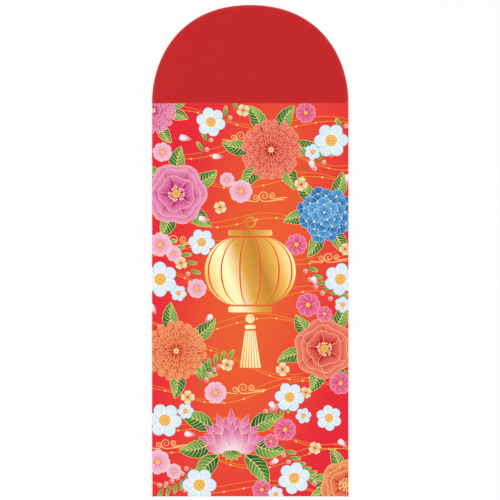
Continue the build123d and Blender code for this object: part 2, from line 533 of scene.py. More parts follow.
PLAIN_RED = colour(198, 36, 39)
GROUND_RED = colour(236, 38, 55)
GROUND_ORANGE = colour(241, 100, 48)
GOLD = colour(253, 220, 139)
GOLD_DEEP = colour(226, 160, 60)
LINE_ORANGE = colour(244, 168, 48)
YOLK = colour(255, 205, 70)
AMBER = colour(240, 130, 40)
CREAM = colour(255, 243, 205)
WHITE = colour(255, 255, 255)
ICE = colour(190, 224, 243)
SKY = colour(92, 160, 210)
BLUSH = colour(249, 205, 219)
ROSE = colour(240, 120, 160)
MAGENTA = colour(222, 22, 92)
CRIMSON = colour(205, 20, 40)
LEAF_DARK = colour(18, 84, 44)
LEAF_MID = colour(52, 138, 62)
LEAF_LIGHT = colour(150, 196, 92)
STEM = colour(96, 122, 62)
PINK_TONES = (colour(186, 4, 112), colour(228, 58, 150), colour(250, 172, 212))
CORAL_TONES = (colour(190, 4, 30), colour(236, 52, 58), colour(255, 150, 126))
APRICOT_TONES = (colour(200, 26, 14), colour(240, 88, 48), colour(255, 172, 116))
BLUE_TONES = (colour(0, 66, 140), colour(0, 118, 196), colour(120, 198, 238))
print("the plain red in linear values:", np.round(PLAIN_RED, 3))

# %% Patches of ink
patches = []


def signed_area(outline):
    """Area of an outline, positive if it runs anticlockwise."""
    x, y = outline.T
    return np.sum(x * np.roll(y, -1) - np.roll(x, -1) * y) / 2


def ink(outline, near, far=None, start=(0, 0), end=(0, 1)):
    """Lay one patch of ink whose colour runs from near, at start, to far, at end; gold ink is gilt."""
    outline = np.asarray(outline, float)
    if signed_area(outline) < 0:
        outline = outline[::-1]
    far = near if far is None else far
    gilt = float(near is GOLD)
    patches.append(dict(outline=outline, near=near, far=far, start=start, end=end, gilt=gilt))


print("an ink patch keeps its outline, two colours, and where the one turns into the other")

# %% Turning, placing and growing outlines
TINY = 1e-9


def heading(turn):
    """The unit vector that points to an angle in degrees, counted anticlockwise from +X."""
    return np.array([math.cos(math.radians(turn)), math.sin(math.radians(turn))])


def set_out(outline, foot, turn):
    """Turn a shape that points along +Y to an angle, and stand it on a place."""
    along = heading(turn)
    return outline @ np.array([[along[1], -along[0]], along]) + foot


def asides(path):
    """The unit vectors to the left of a path, one for each of its points."""
    along = np.gradient(path, axis=0)
    along /= np.maximum(np.linalg.norm(along, axis=1), TINY)[:, None]
    return np.column_stack([-along[:, 1], along[:, 0]])


def grow(outline, by):
    """A closed outline moved outwards all round."""
    return outline - asides(np.vstack([outline[-1:], outline, outline[:1]]))[1:-1] * by


square = np.array([(0.0, 0.0), (1.0, 0.0), (1.0, 1.0), (0.0, 1.0)])
grown_area = signed_area(grow(square, 0.1))
print("a square millimetre, grown by 0.1 mm, covers", round(grown_area, 2), "square mm")

# %% Spots, paths and strokes


def disc(centre, radius, count=10):
    """A small round spot."""
    turns = np.arange(count) * 2 * math.pi / count
    return np.column_stack([np.cos(turns), np.sin(turns)]) * radius + centre


def bow(start, end, sag, count=12):
    """A path from start to end that swings out to its left by sag times its length."""
    start, end = np.asarray(start, float), np.asarray(end, float)
    span = end - start
    middle = (start + end) / 2 + np.array([-span[1], span[0]]) * sag * 2
    t = np.linspace(0, 1, count)[:, None]
    return (1 - t) ** 2 * start + 2 * t * (1 - t) * middle + t * t * end


def stroke(path, first, last):
    """A line drawn along a path, with its width running from first to last."""
    half = asides(path) * np.linspace(first, last, len(path))[:, None] / 2
    return np.vstack([path - half, (path + half)[::-1]])


print("a bow of 10 mm with a sag of 0.1 passes", np.round(bow((0, 0), (10, 0), 0.1, 3)[1], 2))

# %% [markdown]
# ## Petals
# All petals come from one curve: it leaves the foot, swells at the shoulder and closes at the tip.
# Four numbers make it a quill, a heart or a flame. Each flower could have a curve of its own, but a
# shared one makes the whole print look drawn by one hand. Printed flowers on such packets have a thin
# gold line round each petal, so a petal is two patches: a slightly larger one in gold, and the colour.

# %% One petal
# fullness at the foot, fullness at the shoulder, height of the shoulder, dip of the tip
PETAL_FORMS = {
    "quill": (0.35, 1.35, 1.0, 0.0),
    "heart": (1.0, 1.3, 1.2, 0.1),
    "flame": (1.35, 0.5, 0.72, 0.0),
    "oval": (1.15, 0.95, 0.97, 0.0),
    "round": (0.9, 1.25, 1.12, 0.0),
    "drop": (0.5, 1.2, 1.06, 0.0),
}
FOOT_PULL = 0.3


def petal(form, width, length, count=11):
    """A petal that stands on the origin and points along +Y."""
    low, high, shoulder, dip = PETAL_FORMS[form]
    # a cubic curve swings out by three quarters of its handles, and a side has half the width
    reach = width * 2 / 3
    foot_pull = (reach * low, length * FOOT_PULL)
    tip_pull = (reach * high, length * shoulder)
    side = bezier((0, 0), foot_pull, tip_pull, (0, length * (1 - dip)), count)
    return np.vstack([side, side[::-1][1:-1] * (-1, 1)])


for petal_form in PETAL_FORMS:
    filled = signed_area(petal(petal_form, 1, 1))
    print("the", petal_form, "form fills", round(filled, 2), "of its length times its width")

# %% A petal in its place
GOLD_LINE = 0.13
VEIN_POINTS = 6
VEIN_BEND = 0.003
VEIN_WIDTHS = (0.08, 0.18)


def lay_petal(form, foot, turn, width, length, near, far, line=GOLD, line_width=GOLD_LINE, covered=0.0):
    """A petal with a line round it, shaded from its covered foot to its tip; returns the tip."""
    shape = set_out(petal(form, width, length), foot, turn)
    tip = foot + heading(turn) * length
    ink(grow(shape, line_width), line)
    ink(shape, near, far, mix(foot, tip, covered), tip)
    return tip


def veins(foot, turn, leans, length, first, last, shade):
    """Fine lines that fan out along a petal, from one share of its length to another."""
    for lean in leans:
        along = heading(turn + lean) * length
        path = bow(foot + along * first, foot + along * last, lean * VEIN_BEND, VEIN_POINTS)
        ink(stroke(path, *VEIN_WIDTHS), shade)


print("gold lines are", GOLD_LINE, "mm wide, and veins at most", max(VEIN_WIDTHS), "mm")

# %% [markdown]
# ## Blooms
# Each bloom is rings of petals, laid from the outside in, so that every ring covers the feet of the
# one before. The petals differ a little in length and direction, from a seeded generator, because
# rings that are quite even look like a machine part.

# %% Rings of petals and beads
SEED = 88
TIP_RISE = 0.7
BEAD_POINTS = 7
rng = np.random.default_rng(SEED)


def ring(count, wobble):
    """Directions spread round a flower, from a random start and with a little wobble."""
    lead = rng.uniform(0, 360)
    return [lead + 360 * number / count + rng.normal(0, wobble) for number in range(count)]


def ring_tones(tones, reach, foot_share, tip_share):
    """The colours at the foot and the tip of a ring's petals, lighter in the outer rings."""
    deep, middle, light = tones
    return mix(deep, middle, reach * foot_share), mix(middle, light, tip_share + reach * TIP_RISE)


def beads(centre, radius, bead_ring, shade, lead=0.0):
    """Small spots in a circle; its reach and their size are shares of the flower's radius."""
    reach, count, size = bead_ring
    away = radius * reach
    for number in range(count):
        place = centre + heading(lead + 360 * number / count) * away
        ink(disc(place, radius * size, BEAD_POINTS), shade)


print("the small differences between petals come from seed", SEED)

# %% Chrysanthemum
# reach of the ring, number of petals, their length and their width, as shares of the bloom's radius
QUILL_RINGS = (
    (1.0, 19, 0.46, 0.27), (0.85, 17, 0.44, 0.25), (0.69, 15, 0.42, 0.24),
    (0.52, 12, 0.38, 0.22), (0.35, 9, 0.3, 0.18),
)
QUILL_HEART, QUILL_EYE = 0.78, 0.09
# how far foot and tip are lightened, the line toned to the petal, and the vein whitened
QUILL_TONES = (0.4, 0.15)
QUILL_LINE_TONE, QUILL_VEIN_TONE = 0.3, 0.25
FINE_LINE = 0.1
QUILL_WOBBLE = 2
QUILL_LENGTHS = (0.94, 1.05)
QUILL_COVERED = 0.42
QUILL_VEIN = (0.5, 0.86)
QUILL_BEADS = (0.06, 9, 0.022)


def quill_bloom(centre, radius, tones):
    """A chrysanthemum: narrow petals in close rings, over a dark heart that fills their gaps."""
    deep, _, light = tones
    line, vein = mix(GOLD, light, QUILL_LINE_TONE), mix(light, WHITE, QUILL_VEIN_TONE)
    ink(disc(centre, radius * QUILL_HEART, count=32), deep)
    for reach, count, length, width in QUILL_RINGS:
        near, far = ring_tones(tones, reach, *QUILL_TONES)
        wide = radius * width
        for turn in ring(count, QUILL_WOBBLE):
            long = radius * length * rng.uniform(*QUILL_LENGTHS)
            foot = centre + heading(turn) * radius * (reach - length)
            lay_petal("quill", foot, turn, wide, long, near, far, line, FINE_LINE, QUILL_COVERED)
            veins(foot, turn, (0,), long, *QUILL_VEIN, vein)
    ink(disc(centre, radius * QUILL_EYE), GOLD_DEEP)
    beads(centre, radius, QUILL_BEADS, CREAM)


print("petals in a chrysanthemum:", sum(row[1] for row in QUILL_RINGS))

# %% A tuft of stamens
STAMENS = 18
STAMEN_WOBBLE = 5
STAMEN_LENGTHS = (0.72, 1.05)
# the tuft's heart, the start of a thread and the bead at its end, as shares of the tuft's reach
TUFT_HEART, THREAD_START, THREAD_BEAD = 0.5, 0.2, 0.11
THREAD = 0.12


def stamens(centre, reach):
    """A tuft of gold threads with a bead on each."""
    ink(disc(centre, reach * TUFT_HEART, count=12), GOLD_DEEP)
    for turn in ring(STAMENS, STAMEN_WOBBLE):
        end = centre + heading(turn) * reach * rng.uniform(*STAMEN_LENGTHS)
        start = centre + heading(turn) * reach * THREAD_START
        ink(stroke(np.array([start, end]), THREAD, THREAD), GOLD)
        ink(disc(end, reach * THREAD_BEAD, count=8), CREAM)


print("threads in a tuft:", STAMENS)

# %% Camellia
# reach of the ring, number of petals, their length and their width, as shares of the bloom's radius
HEART_RINGS = ((1.0, 6, 0.74, 0.94), (0.8, 6, 0.6, 0.76), (0.58, 5, 0.46, 0.62))
HEART_TONES = (0.3, 0.25)
HEART_WOBBLE = 3
HEART_LENGTHS = (0.95, 1.04)
HEART_COVERED = 0.4
# the inner petal's width and length, its tone, and the stretch over which it is shaded
HEART_INNER_WIDTH, HEART_INNER_LENGTH = 0.7, 0.78
HEART_INNER_TONE = 0.6
HEART_INNER_STRETCH = (0.35, 0.8)
HEART_LEANS = (-26, -13, 0, 13, 26)
HEART_VEIN = (0.3, 0.74)
HEART_VEIN_TONE = 0.6
TUFT_REACH = 0.26


def heart_bloom(centre, radius, tones):
    """An open camellia: broad notched petals round a tuft of stamens."""
    _, _, light = tones
    for reach, count, length, width in HEART_RINGS:
        near, far = ring_tones(tones, reach, *HEART_TONES)
        vein = mix(far, light, HEART_VEIN_TONE)
        wide = radius * width
        for turn in ring(count, HEART_WOBBLE):
            long = radius * length * rng.uniform(*HEART_LENGTHS)
            foot = centre + heading(turn) * radius * (reach - length)
            tip = lay_petal("heart", foot, turn, wide, long, near, far, covered=HEART_COVERED)
            inner = petal("heart", wide * HEART_INNER_WIDTH, long * HEART_INNER_LENGTH)
            start, end = (mix(foot, tip, share) for share in HEART_INNER_STRETCH)
            ink(set_out(inner, foot, turn), near, mix(near, far, HEART_INNER_TONE), start, end)
            veins(foot, turn, HEART_LEANS, long, *HEART_VEIN, vein)
    stamens(centre, radius * TUFT_REACH)


print("petals in a camellia:", sum(row[1] for row in HEART_RINGS))

# %% [markdown]
# A lotus is drawn from the side, so its petals do not ring a middle. They fan out from one cup, and
# each fan stands in front of the one before, a little lower. A hydrangea is a ball of small florets.
# They could be strewn at random, but a spiral like that of a seed head leaves no bald spot.

# %% Sepals under a lotus
SEPAL_TURNS = (218, 244, 270, 296, 322)
SEPAL_DROP, SEPAL_WIDTH, SEPAL_LENGTH = 0.28, 0.2, 0.36


def sepals(centre, size):
    """The green leaves that hold a lotus from below."""
    foot = centre - (0, size * SEPAL_DROP)
    for turn in SEPAL_TURNS:
        lay_petal("flame", foot, turn, size * SEPAL_WIDTH, size * SEPAL_LENGTH, LEAF_DARK, LEAF_LIGHT)


print("sepals under a lotus:", len(SEPAL_TURNS))

# %% Lotus
# number of petals, spread in degrees, length, width and rise, as shares of the flower's size
LOTUS_FANS = (
    (7, 76, 1.05, 0.36, 0.12), (6, 58, 0.92, 0.4, 0.05),
    (5, 84, 0.8, 0.34, 0.0), (4, 40, 0.72, 0.42, -0.03),
)
LOTUS_WOBBLE = 1.5
# degrees of lean at which a petal would have no length left
LOTUS_SHRINK = 400
CUP_HALF, CUP_DROP = 0.16, 0.3
LOTUS_INNER_WIDTH, LOTUS_INNER_LENGTH = 0.55, 0.94
LOTUS_LEANS = (-6, -2, 2, 6)
LOTUS_VEIN = (0.2, 0.8)
# how far the foot and the inner foot are whitened, the inner tip deepened and the veins toned
LOTUS_PALE, LOTUS_PALER, LOTUS_DEEP, LOTUS_VEIN_TONE = 0.55, 0.75, 0.4, 0.55


def flame_bloom(centre, size, tones):
    """A lotus from the side: pointed petals fanned from one cup, the front ones lowest."""
    deep, middle, light = tones
    pale, paler = mix(light, WHITE, LOTUS_PALE), mix(light, WHITE, LOTUS_PALER)
    dark, vein = mix(middle, deep, LOTUS_DEEP), mix(light, middle, LOTUS_VEIN_TONE)
    sepals(centre, size)
    for count, spread, length, width, rise in LOTUS_FANS:
        wide = size * width
        for side in sorted(np.linspace(-spread, spread, count), key=lambda value: -abs(value)):
            turn = 90 - side + rng.normal(0, LOTUS_WOBBLE)
            long = size * length * (1 - abs(side) / LOTUS_SHRINK)
            foot = centre + np.array([side / 90 * CUP_HALF, rise - CUP_DROP]) * size
            tip = lay_petal("flame", foot, turn, wide, long, pale, middle)
            inner = petal("flame", wide * LOTUS_INNER_WIDTH, long * LOTUS_INNER_LENGTH)
            ink(set_out(inner, foot, turn), paler, dark, foot, tip)
            veins(foot, turn, LOTUS_LEANS, long, *LOTUS_VEIN, vein)


print("petals in a lotus:", sum(fan[0] for fan in LOTUS_FANS))

# %% Hydrangea
FLORETS = 30
SPIRAL_TURN = 137.5
# the dark heart and the outermost florets, as shares of the bloom's radius
BALL_HEART, BALL_REACH = 0.86, 0.84
FLORET_PETALS = 4
FLORET_WIDTH, FLORET_LENGTH, FLORET_EYE = 0.27, 0.25, 0.045
FLORET_LINE_TONE = 0.6
# how much lighter a floret is at most by chance, and by lying in the middle
CHANCE_LIGHT, MIDDLE_LIGHT = 0.55, 0.4


def ball_bloom(centre, radius, tones):
    """A hydrangea head: small four-petalled florets set out on a spiral, as on a seed head."""
    deep, middle, light = tones
    line = mix(light, WHITE, FLORET_LINE_TONE)
    wide, long = radius * FLORET_WIDTH, radius * FLORET_LENGTH
    ink(disc(centre, radius * BALL_HEART, count=32), deep)
    for number in range(FLORETS, 0, -1):
        away = radius * BALL_REACH * math.sqrt((number - 0.5) / FLORETS)
        seat = centre + heading(number * SPIRAL_TURN) * away
        shade = rng.uniform(0, CHANCE_LIGHT) + MIDDLE_LIGHT * (1 - number / FLORETS)
        near, far = mix(deep, middle, shade), mix(middle, light, shade)
        for turn in ring(FLORET_PETALS, 0):
            lay_petal("round", seat, turn, wide, long, near, far, line, FINE_LINE)
        ink(disc(seat, radius * FLORET_EYE, count=8), GOLD)


print("florets in a hydrangea:", FLORETS)

# %% [markdown]
# ## Small flowers, leaves and sprigs
# Smaller flowers fill the ground between the blooms. White narcissus carry the light, pink cosmos and
# cream osmanthus keep the colour moving, and loose petals soften the gaps. They could be one flower in
# several colours, but each kind has its own number of petals, so that the eye can tell them apart.

# %% Narcissus
NARCISSUS_STEP = 60
NARCISSUS_TURNS = (0, 120, 240, 60, 180, 300)
ICY_TIP = mix(WHITE, ICE, 0.55)
ICY_LINE = mix(SKY, ICE, 0.35)
ICY_LINE_WIDTH = 0.14
# start, width and length of a petal, as shares of the flower's radius
NARCISSUS_FOOT, NARCISSUS_WIDTH, NARCISSUS_LENGTH = 0.08, 0.72, 0.94
NARCISSUS_LEANS = (-12, 0, 12)
NARCISSUS_VEIN = (0.3, 0.72)
CUP_RINGS = ((0.34, GOLD_DEEP), (0.29, YOLK), (0.19, AMBER))
NARCISSUS_BEADS = (0.11, 6, 0.045)


def narcissus(centre, radius):
    """Six white petals with an icy edge and a golden cup."""
    wide, long = radius * NARCISSUS_WIDTH, radius * NARCISSUS_LENGTH
    lead = rng.uniform(0, NARCISSUS_STEP)
    for onward in NARCISSUS_TURNS:
        turn = lead + onward
        foot = centre + heading(turn) * radius * NARCISSUS_FOOT
        lay_petal("oval", foot, turn, wide, long, WHITE, ICY_TIP, ICY_LINE, ICY_LINE_WIDTH)
        veins(foot, turn, NARCISSUS_LEANS, radius, *NARCISSUS_VEIN, ICE)
    for share, shade in CUP_RINGS:
        ink(disc(centre, radius * share, count=16), shade)
    beads(centre, radius, NARCISSUS_BEADS, CREAM, lead + NARCISSUS_STEP / 2)


print("petals in a narcissus:", len(NARCISSUS_TURNS))

# %% Cosmos and osmanthus
COSMOS_PETALS = 8
COSMOS_WIDTH, COSMOS_EYE = 0.62, 0.2
COSMOS_LINE_TONE = 0.7
COSMOS_BEADS = (0.27, 7, 0.05)
OSMANTHUS_PETALS = 4
OSMANTHUS_WIDTH, OSMANTHUS_EYE = 0.95, 0.17
OSMANTHUS_LINE = mix(GOLD_DEEP, CRIMSON, 0.25)


def cosmos(centre, radius):
    """Eight blunt petals round a dotted eye, paler on the left of the packet."""
    near, far = (ROSE, BLUSH) if centre[0] < 0 else (MAGENTA, ROSE)
    line = mix(far, WHITE, COSMOS_LINE_TONE)
    for turn in ring(COSMOS_PETALS, 0):
        lay_petal("round", centre, turn, radius * COSMOS_WIDTH, radius, near, far, line, FINE_LINE)
    ink(disc(centre, radius * COSMOS_EYE, count=12), YOLK)
    beads(centre, radius, COSMOS_BEADS, MAGENTA)


def osmanthus(centre, radius):
    """Four thick cream petals, gold towards the middle."""
    wide = radius * OSMANTHUS_WIDTH
    for turn in ring(OSMANTHUS_PETALS, 0):
        lay_petal("round", centre, turn, wide, radius, GOLD_DEEP, CREAM, OSMANTHUS_LINE, FINE_LINE)
    ink(disc(centre, radius * OSMANTHUS_EYE, count=9), CRIMSON)


print("petals in a cosmos:", COSMOS_PETALS, "and in an osmanthus:", OSMANTHUS_PETALS)

# %% Loose petals
LOOSE_WIDTH = 0.55
LOOSE_LINE = mix(BLUSH, WHITE, 0.4)
LOOSE_LINE_WIDTH = 0.12
# width, length and start of the pale middle, as shares of the petal's length
LOOSE_INNER_WIDTH, LOOSE_INNER_LENGTH, LOOSE_INNER_START = 0.3, 0.7, 0.24


def loose_petal(centre, length):
    """A white petal that has dropped, with a magenta streak."""
    turn = rng.uniform(0, 180)
    foot = centre - heading(turn) * length / 2
    wide = length * LOOSE_WIDTH
    tip = lay_petal("drop", foot, turn, wide, length, MAGENTA, WHITE, LOOSE_LINE, LOOSE_LINE_WIDTH)
    inner = petal("drop", length * LOOSE_INNER_WIDTH, length * LOOSE_INNER_LENGTH)
    ink(set_out(inner, mix(foot, tip, LOOSE_INNER_START), turn), BLUSH, WHITE, foot, tip)


print("a loose petal is", LOOSE_WIDTH, "times as wide as it is long")

# %% [markdown]
# A leaf could be one green patch, but then it looks like a paper cut-out. Here it is two halves in two
# greens along a bent midrib, so that it seems to catch the light on one side. Berry sprigs are lighter
# than leaves, and lead from one bloom to the next.

# %% Veins of a leaf
LEAF_POINTS = 19
# points of the midrib that veins spring from, how many points ahead they end, and how far out
LEAF_VEINS = range(3, LEAF_POINTS - 4, 2)
LEAF_VEIN_AHEAD, LEAF_VEIN_REACH = 3, 0.86
LEAF_VEIN_SAG = 0.06
LEAF_VEIN_WIDTHS = (0.22, 0.08)


def leaf_veins(path, aside):
    """Gold veins on both sides of a midrib; aside gives the way from it to the left edge."""
    for number in LEAF_VEINS:
        ahead = number + LEAF_VEIN_AHEAD
        for side in (-1, 1):
            end = path[ahead] + aside[ahead] * LEAF_VEIN_REACH * side
            ink(stroke(bow(path[number], end, LEAF_VEIN_SAG * side, count=5), *LEAF_VEIN_WIDTHS), GOLD)


print("a leaf has", 2 * len(LEAF_VEINS), "veins")

# %% Leaves
# depth and pace of the scalloped edge, two powers that shape the outline, and the least half width
SCALLOP, SCALLOP_PACE = 0.05, 30
LEAF_LEAN, LEAF_FULLNESS = 0.82, 0.85
LEAF_LEAST = 0.02
LEAF_LIT = mix(LEAF_DARK, LEAF_MID, 0.55)
LEAF_LINE = GOLD_LINE * 1.15
RIB_WIDTHS = (0.34, 0.1)


def leaf(foot, turn, length, width, sag):
    """A smooth leaf in two greens, with a gold edge, midrib and veins."""
    path = bow(foot, foot + heading(turn) * length, sag, LEAF_POINTS)
    share = np.linspace(0, 1, LEAF_POINTS)
    scallop = 1 + SCALLOP * np.sin(share * SCALLOP_PACE)
    half = width / 2 * np.sin(math.pi * share ** LEAF_LEAN) ** LEAF_FULLNESS * scallop
    aside = asides(path) * np.maximum(half, LEAF_LEAST)[:, None]
    left, right = path + aside, path - aside
    ink(grow(np.vstack([right, left[::-1]]), LEAF_LINE), GOLD)
    ink(np.vstack([path, left[::-1]]), LEAF_DARK, LEAF_MID, path[0], path[-1])
    ink(np.vstack([right, path[::-1]]), LEAF_LIT, LEAF_LIGHT, path[0], path[-1])
    ink(stroke(path[:-1], *RIB_WIDTHS), GOLD)
    leaf_veins(path, aside)


print("a leaf has", LEAF_POINTS, "points along its midrib")

# %% Leaves round a bloom
LEAF_ROOT, LEAF_WIDTH = 0.62, 0.5
LEAF_LENGTHS = (0.9, 1.08)
LEAF_SAG = 0.09


def leaves_round(centre, radius, turns):
    """Leaves that spring from under a bloom, bent to one side and the other."""
    for number, turn in enumerate(turns):
        root = centre + heading(turn) * radius * LEAF_ROOT
        length = radius * rng.uniform(*LEAF_LENGTHS)
        leaf(root, turn, length, radius * LEAF_WIDTH, LEAF_SAG if number % 2 else -LEAF_SAG)


print("leaves start", LEAF_ROOT, "of a radius from a bloom's middle")

# %% Berry sprigs
SPRIG_POINTS = 21
SPRIG_WIDTHS = (0.42, 0.16)
SPRIG_EVERY = 3
SPRIG_LEAF = (1.5, 4.4)
SPRIG_LEAF_LEAN = 48
BERRY = 0.86
BERRY_POINTS = 14
BERRY_LEAN, BERRY_AWAY = 62, 2.4
STALK_WIDTHS = (0.2, 0.16)
# place and size of the shine on a berry, as shares of its radius
SHINE_AWAY, SHINE = 0.3, 0.23


def berry_sprig(start, end, sag):
    """A thin stem with narrow leaves on one side and berries on the other."""
    path = bow(start, end, sag, SPRIG_POINTS)
    ink(stroke(path, *SPRIG_WIDTHS), STEM)
    for before, here in zip(path[SPRIG_EVERY - 1::SPRIG_EVERY], path[SPRIG_EVERY::SPRIG_EVERY]):
        turn = math.degrees(math.atan2(*(here - before)[::-1]))
        lean = turn + SPRIG_LEAF_LEAN
        lay_petal("oval", here, lean, *SPRIG_LEAF, LEAF_MID, LEAF_LIGHT, GOLD, FINE_LINE)
        seat = here + heading(turn - BERRY_LEAN) * BERRY * BERRY_AWAY
        ink(stroke(np.array([here, seat]), *STALK_WIDTHS), STEM)
        ink(disc(seat, BERRY + GOLD_LINE, BERRY_POINTS), GOLD)
        ink(disc(seat, BERRY, BERRY_POINTS), MAGENTA, BLUSH, seat - BERRY, seat + BERRY)
        ink(disc(seat + BERRY * SHINE_AWAY, BERRY * SHINE, count=8), CREAM)


print("berries on a sprig:", len(range(SPRIG_EVERY, SPRIG_POINTS, SPRIG_EVERY)))

# %% [markdown]
# ## The layout of the front
# Fine lines of flowing water and gold clouds go down first, as on painted silk. Then come the leaves
# and sprigs, and the blooms last. The blooms stand along both sides, in turn, so that the middle stays
# open for the gold foil. A few of them run off the edge, because a printed pattern is trimmed and does
# not stop where the card does. The places could be strewn by chance, but a printer sets them by hand,
# so that no two blooms crowd each other. The water stops behind the foil lantern, or it would show as
# ticks in the narrow gaps between the gores.

# %% Where the water stops
# the oval's height over the lantern's, the share of its width that hides water, and the step in mm
LANTERN_OVAL = 1.1
HIDDEN_SHARE = 0.95
HIDDEN_STEP = 0.1
lantern_low, lantern_high = (corner[:2] for corner in corners("foil_lantern"))


def behind_lantern(path):
    """Which points of a path lie behind the foil lantern, an oval cut off at its head and foot."""
    half = (lantern_high - lantern_low) / 2
    across, along = np.abs(path - lantern_low - half).T
    reach = half[0] * np.sqrt(np.maximum(1 - (along / half[1] / LANTERN_OVAL) ** 2, 0))
    return (along < half[1]) & (across < reach * HIDDEN_SHARE)


def flow(path, width):
    """Draw a line of water that ends under the lantern's edge, where it comes to it."""
    fine = finely(path, HIDDEN_STEP, closed=False)
    hidden = behind_lantern(fine)
    every = len(fine) // len(path)
    turns = np.flatnonzero(hidden[1:] != hidden[:-1]) + 1
    for run, away in zip(np.split(fine, turns), np.split(hidden, turns)):
        if not away[0]:
            ink(stroke(np.vstack([run[:-1:every], run[-1:]]), width, width), LINE_ORANGE)


print("the lantern is", np.round(lantern_high - lantern_low, 1), "mm wide and high")

# %% One water line
# width of a line in mm, and the share of it that the line beside has
WATER_LINE, WATER_BESIDE = 0.24, 0.7
WATER_WAVES = 1.25
WATER_POINTS = 61
# the gap between the two lines in mm, and how much of it comes and goes
WATER_GAP, GAP_SWING = 1.7, 0.6
# radius of a bead in mm, and the way to the next one in points of the line
BEAD = 0.42
BEAD_EVERY = 6


def water_line(left_height, right_height, swing, lead, first_bead):
    """A fine line that flows across the front in waves, with beads and a thinner line beside it."""
    share = np.linspace(0, 1, WATER_POINTS)
    waves = math.radians(lead) + share * WATER_WAVES * 2 * math.pi
    height = mix(left_height, right_height, share) + swing * np.sin(waves)
    path = np.column_stack([mix(LEFT, RIGHT, share), height])
    beside = np.column_stack([path[:, 0], height + WATER_GAP * (1 + GAP_SWING * np.cos(waves))])
    flow(path, WATER_LINE)
    flow(beside, WATER_LINE * WATER_BESIDE)
    beaded = path[first_bead::BEAD_EVERY]
    for place in beaded[~behind_lantern(beaded)]:
        ink(disc(place, BEAD, count=8), GOLD)


print("a water line has", WATER_POINTS, "points and a bead at every", BEAD_EVERY, "of them")

# %% Water lines in their places
# counted in points of a line: the first bead, and the shift from line to line
FIRST_BEAD = 2
BEAD_SHIFT = 4
# height at the left edge, height at the right edge, swing in mm and lead in degrees
STREAMS = (
    (80, 74, 3.0, 20), (66, 60, 4.0, 200), (52, 50, 3.0, 80), (40, 26, 4.5, 150),
    (22, 18, 3.5, 300), (8, -2, 4.5, 60), (-10, -12, 3.5, 180), (-22, -34, 4.0, 330),
    (-42, -38, 4.0, 110), (-52, -62, 3.5, 240), (-70, -68, 4.0, 30), (-80, -84, 2.5, 160),
)

for number, stream in enumerate(STREAMS):
    water_line(*stream, FIRST_BEAD + number * BEAD_SHIFT % BEAD_EVERY)
print(len(patches), "patches after the water lines")

# %% Clouds
SCROLL_TURNS = 1.55
SCROLL_POINTS, TAIL_POINTS = 30, 14
# reach of the spiral at its eye, and what it gains on the way out
SCROLL_EYE, SCROLL_GAIN = 0.14, 0.86
TAIL_HANDLES = ((0.4, 0), (0.7, 0.5), (1, 0.3))
SCROLL_WIDTHS = (0.2, 0.36)
# place aside, place up, size and tail of each scroll, in sizes of the cloud, and the way its tail runs
CLOUD_SCROLLS = ((0, 0, 1, 3.6, 1), (-1.5, -0.35, 0.66, 2.2, -1), (1.55, 0.1, 0.6, 2.6, 1))
CLOUDS = (
    (-33, 26, 2.6), (34, 18.5, 2.2), (-3, -38, 2.4),
    (-36.5, -62, 2.2), (6, 45, 2.4), (-4, 71, 2.2),
)


def scroll(centre, size, tail, way):
    """A line that unwinds from a spiral and runs off to one side; way is 1 right, -1 left."""
    share = np.linspace(0, 1, SCROLL_POINTS)
    angles = -math.pi / 2 + way * (share - 1) * SCROLL_TURNS * 2 * math.pi
    reach = size * (SCROLL_EYE + SCROLL_GAIN * share)
    spiral = np.column_stack([np.cos(angles), np.sin(angles)]) * reach[:, None] + centre
    root = spiral[-1]
    away = [root + (way * tail * run, size * rise) for run, rise in TAIL_HANDLES]
    ink(stroke(np.vstack([spiral, bezier(root, *away, TAIL_POINTS)[1:]]), *SCROLL_WIDTHS), GOLD)


for x, y, size in CLOUDS:
    for aside, up, share, tail, way in CLOUD_SCROLLS:
        scroll(np.array([x + size * aside, y + size * up]), size * share, size * tail, way)
print(len(patches), "patches after the clouds")

# %% Blooms, leaves and sprigs in their places
# kind, place and radius in mm, tones, and the directions of the leaves in degrees
BLOOMS = (
    (quill_bloom, (9, 65), 13.0, CORAL_TONES, (8, 62, 118, 172, 236, 300)),
    (heart_bloom, (-32, 46), 13.0, PINK_TONES, (30, 84, 146, 250, 318)),
    (ball_bloom, (33, 37), 12.0, BLUE_TONES, (70, 128, 190, 246, 300)),
    (quill_bloom, (-32, -22), 13.0, APRICOT_TONES, (40, 96, 214, 268, 330)),
    (heart_bloom, (32, -21), 12.5, CORAL_TONES, (66, 130, 196, 252, 304)),
    (flame_bloom, (-8, -60), 15.0, PINK_TONES, (-12, 24, 156, 192, 232, 308)),
    (heart_bloom, (41, -80), 10.5, APRICOT_TONES, (112, 166, 204)),
    (quill_bloom, (-42, 82), 10.0, PINK_TONES, (300, 346, 22)),
)
# start and end in mm, and the sag of the stem
SPRIGS = (
    ((-22, 60), (-4, 84), 0.12), ((22, 56), (40, 78), -0.14), ((-40, 26), (-24, 6), 0.16),
    ((24, 18), (41, 0), -0.14), ((-22, -38), (-7, -25), 0.18), ((20, -36), (6, -50), 0.16),
    ((-24, -70), (-40, -82), 0.14), ((14, -62), (30, -78), -0.1),
)

for _, place, radius, _, turns in BLOOMS:
    leaves_round(np.array(place), radius, turns)
for sprig_facts in SPRIGS:
    berry_sprig(*sprig_facts)
for bloom, place, radius, tones, _ in BLOOMS:
    bloom(np.array(place), radius, tones)
print(len(patches), "patches after the blooms")

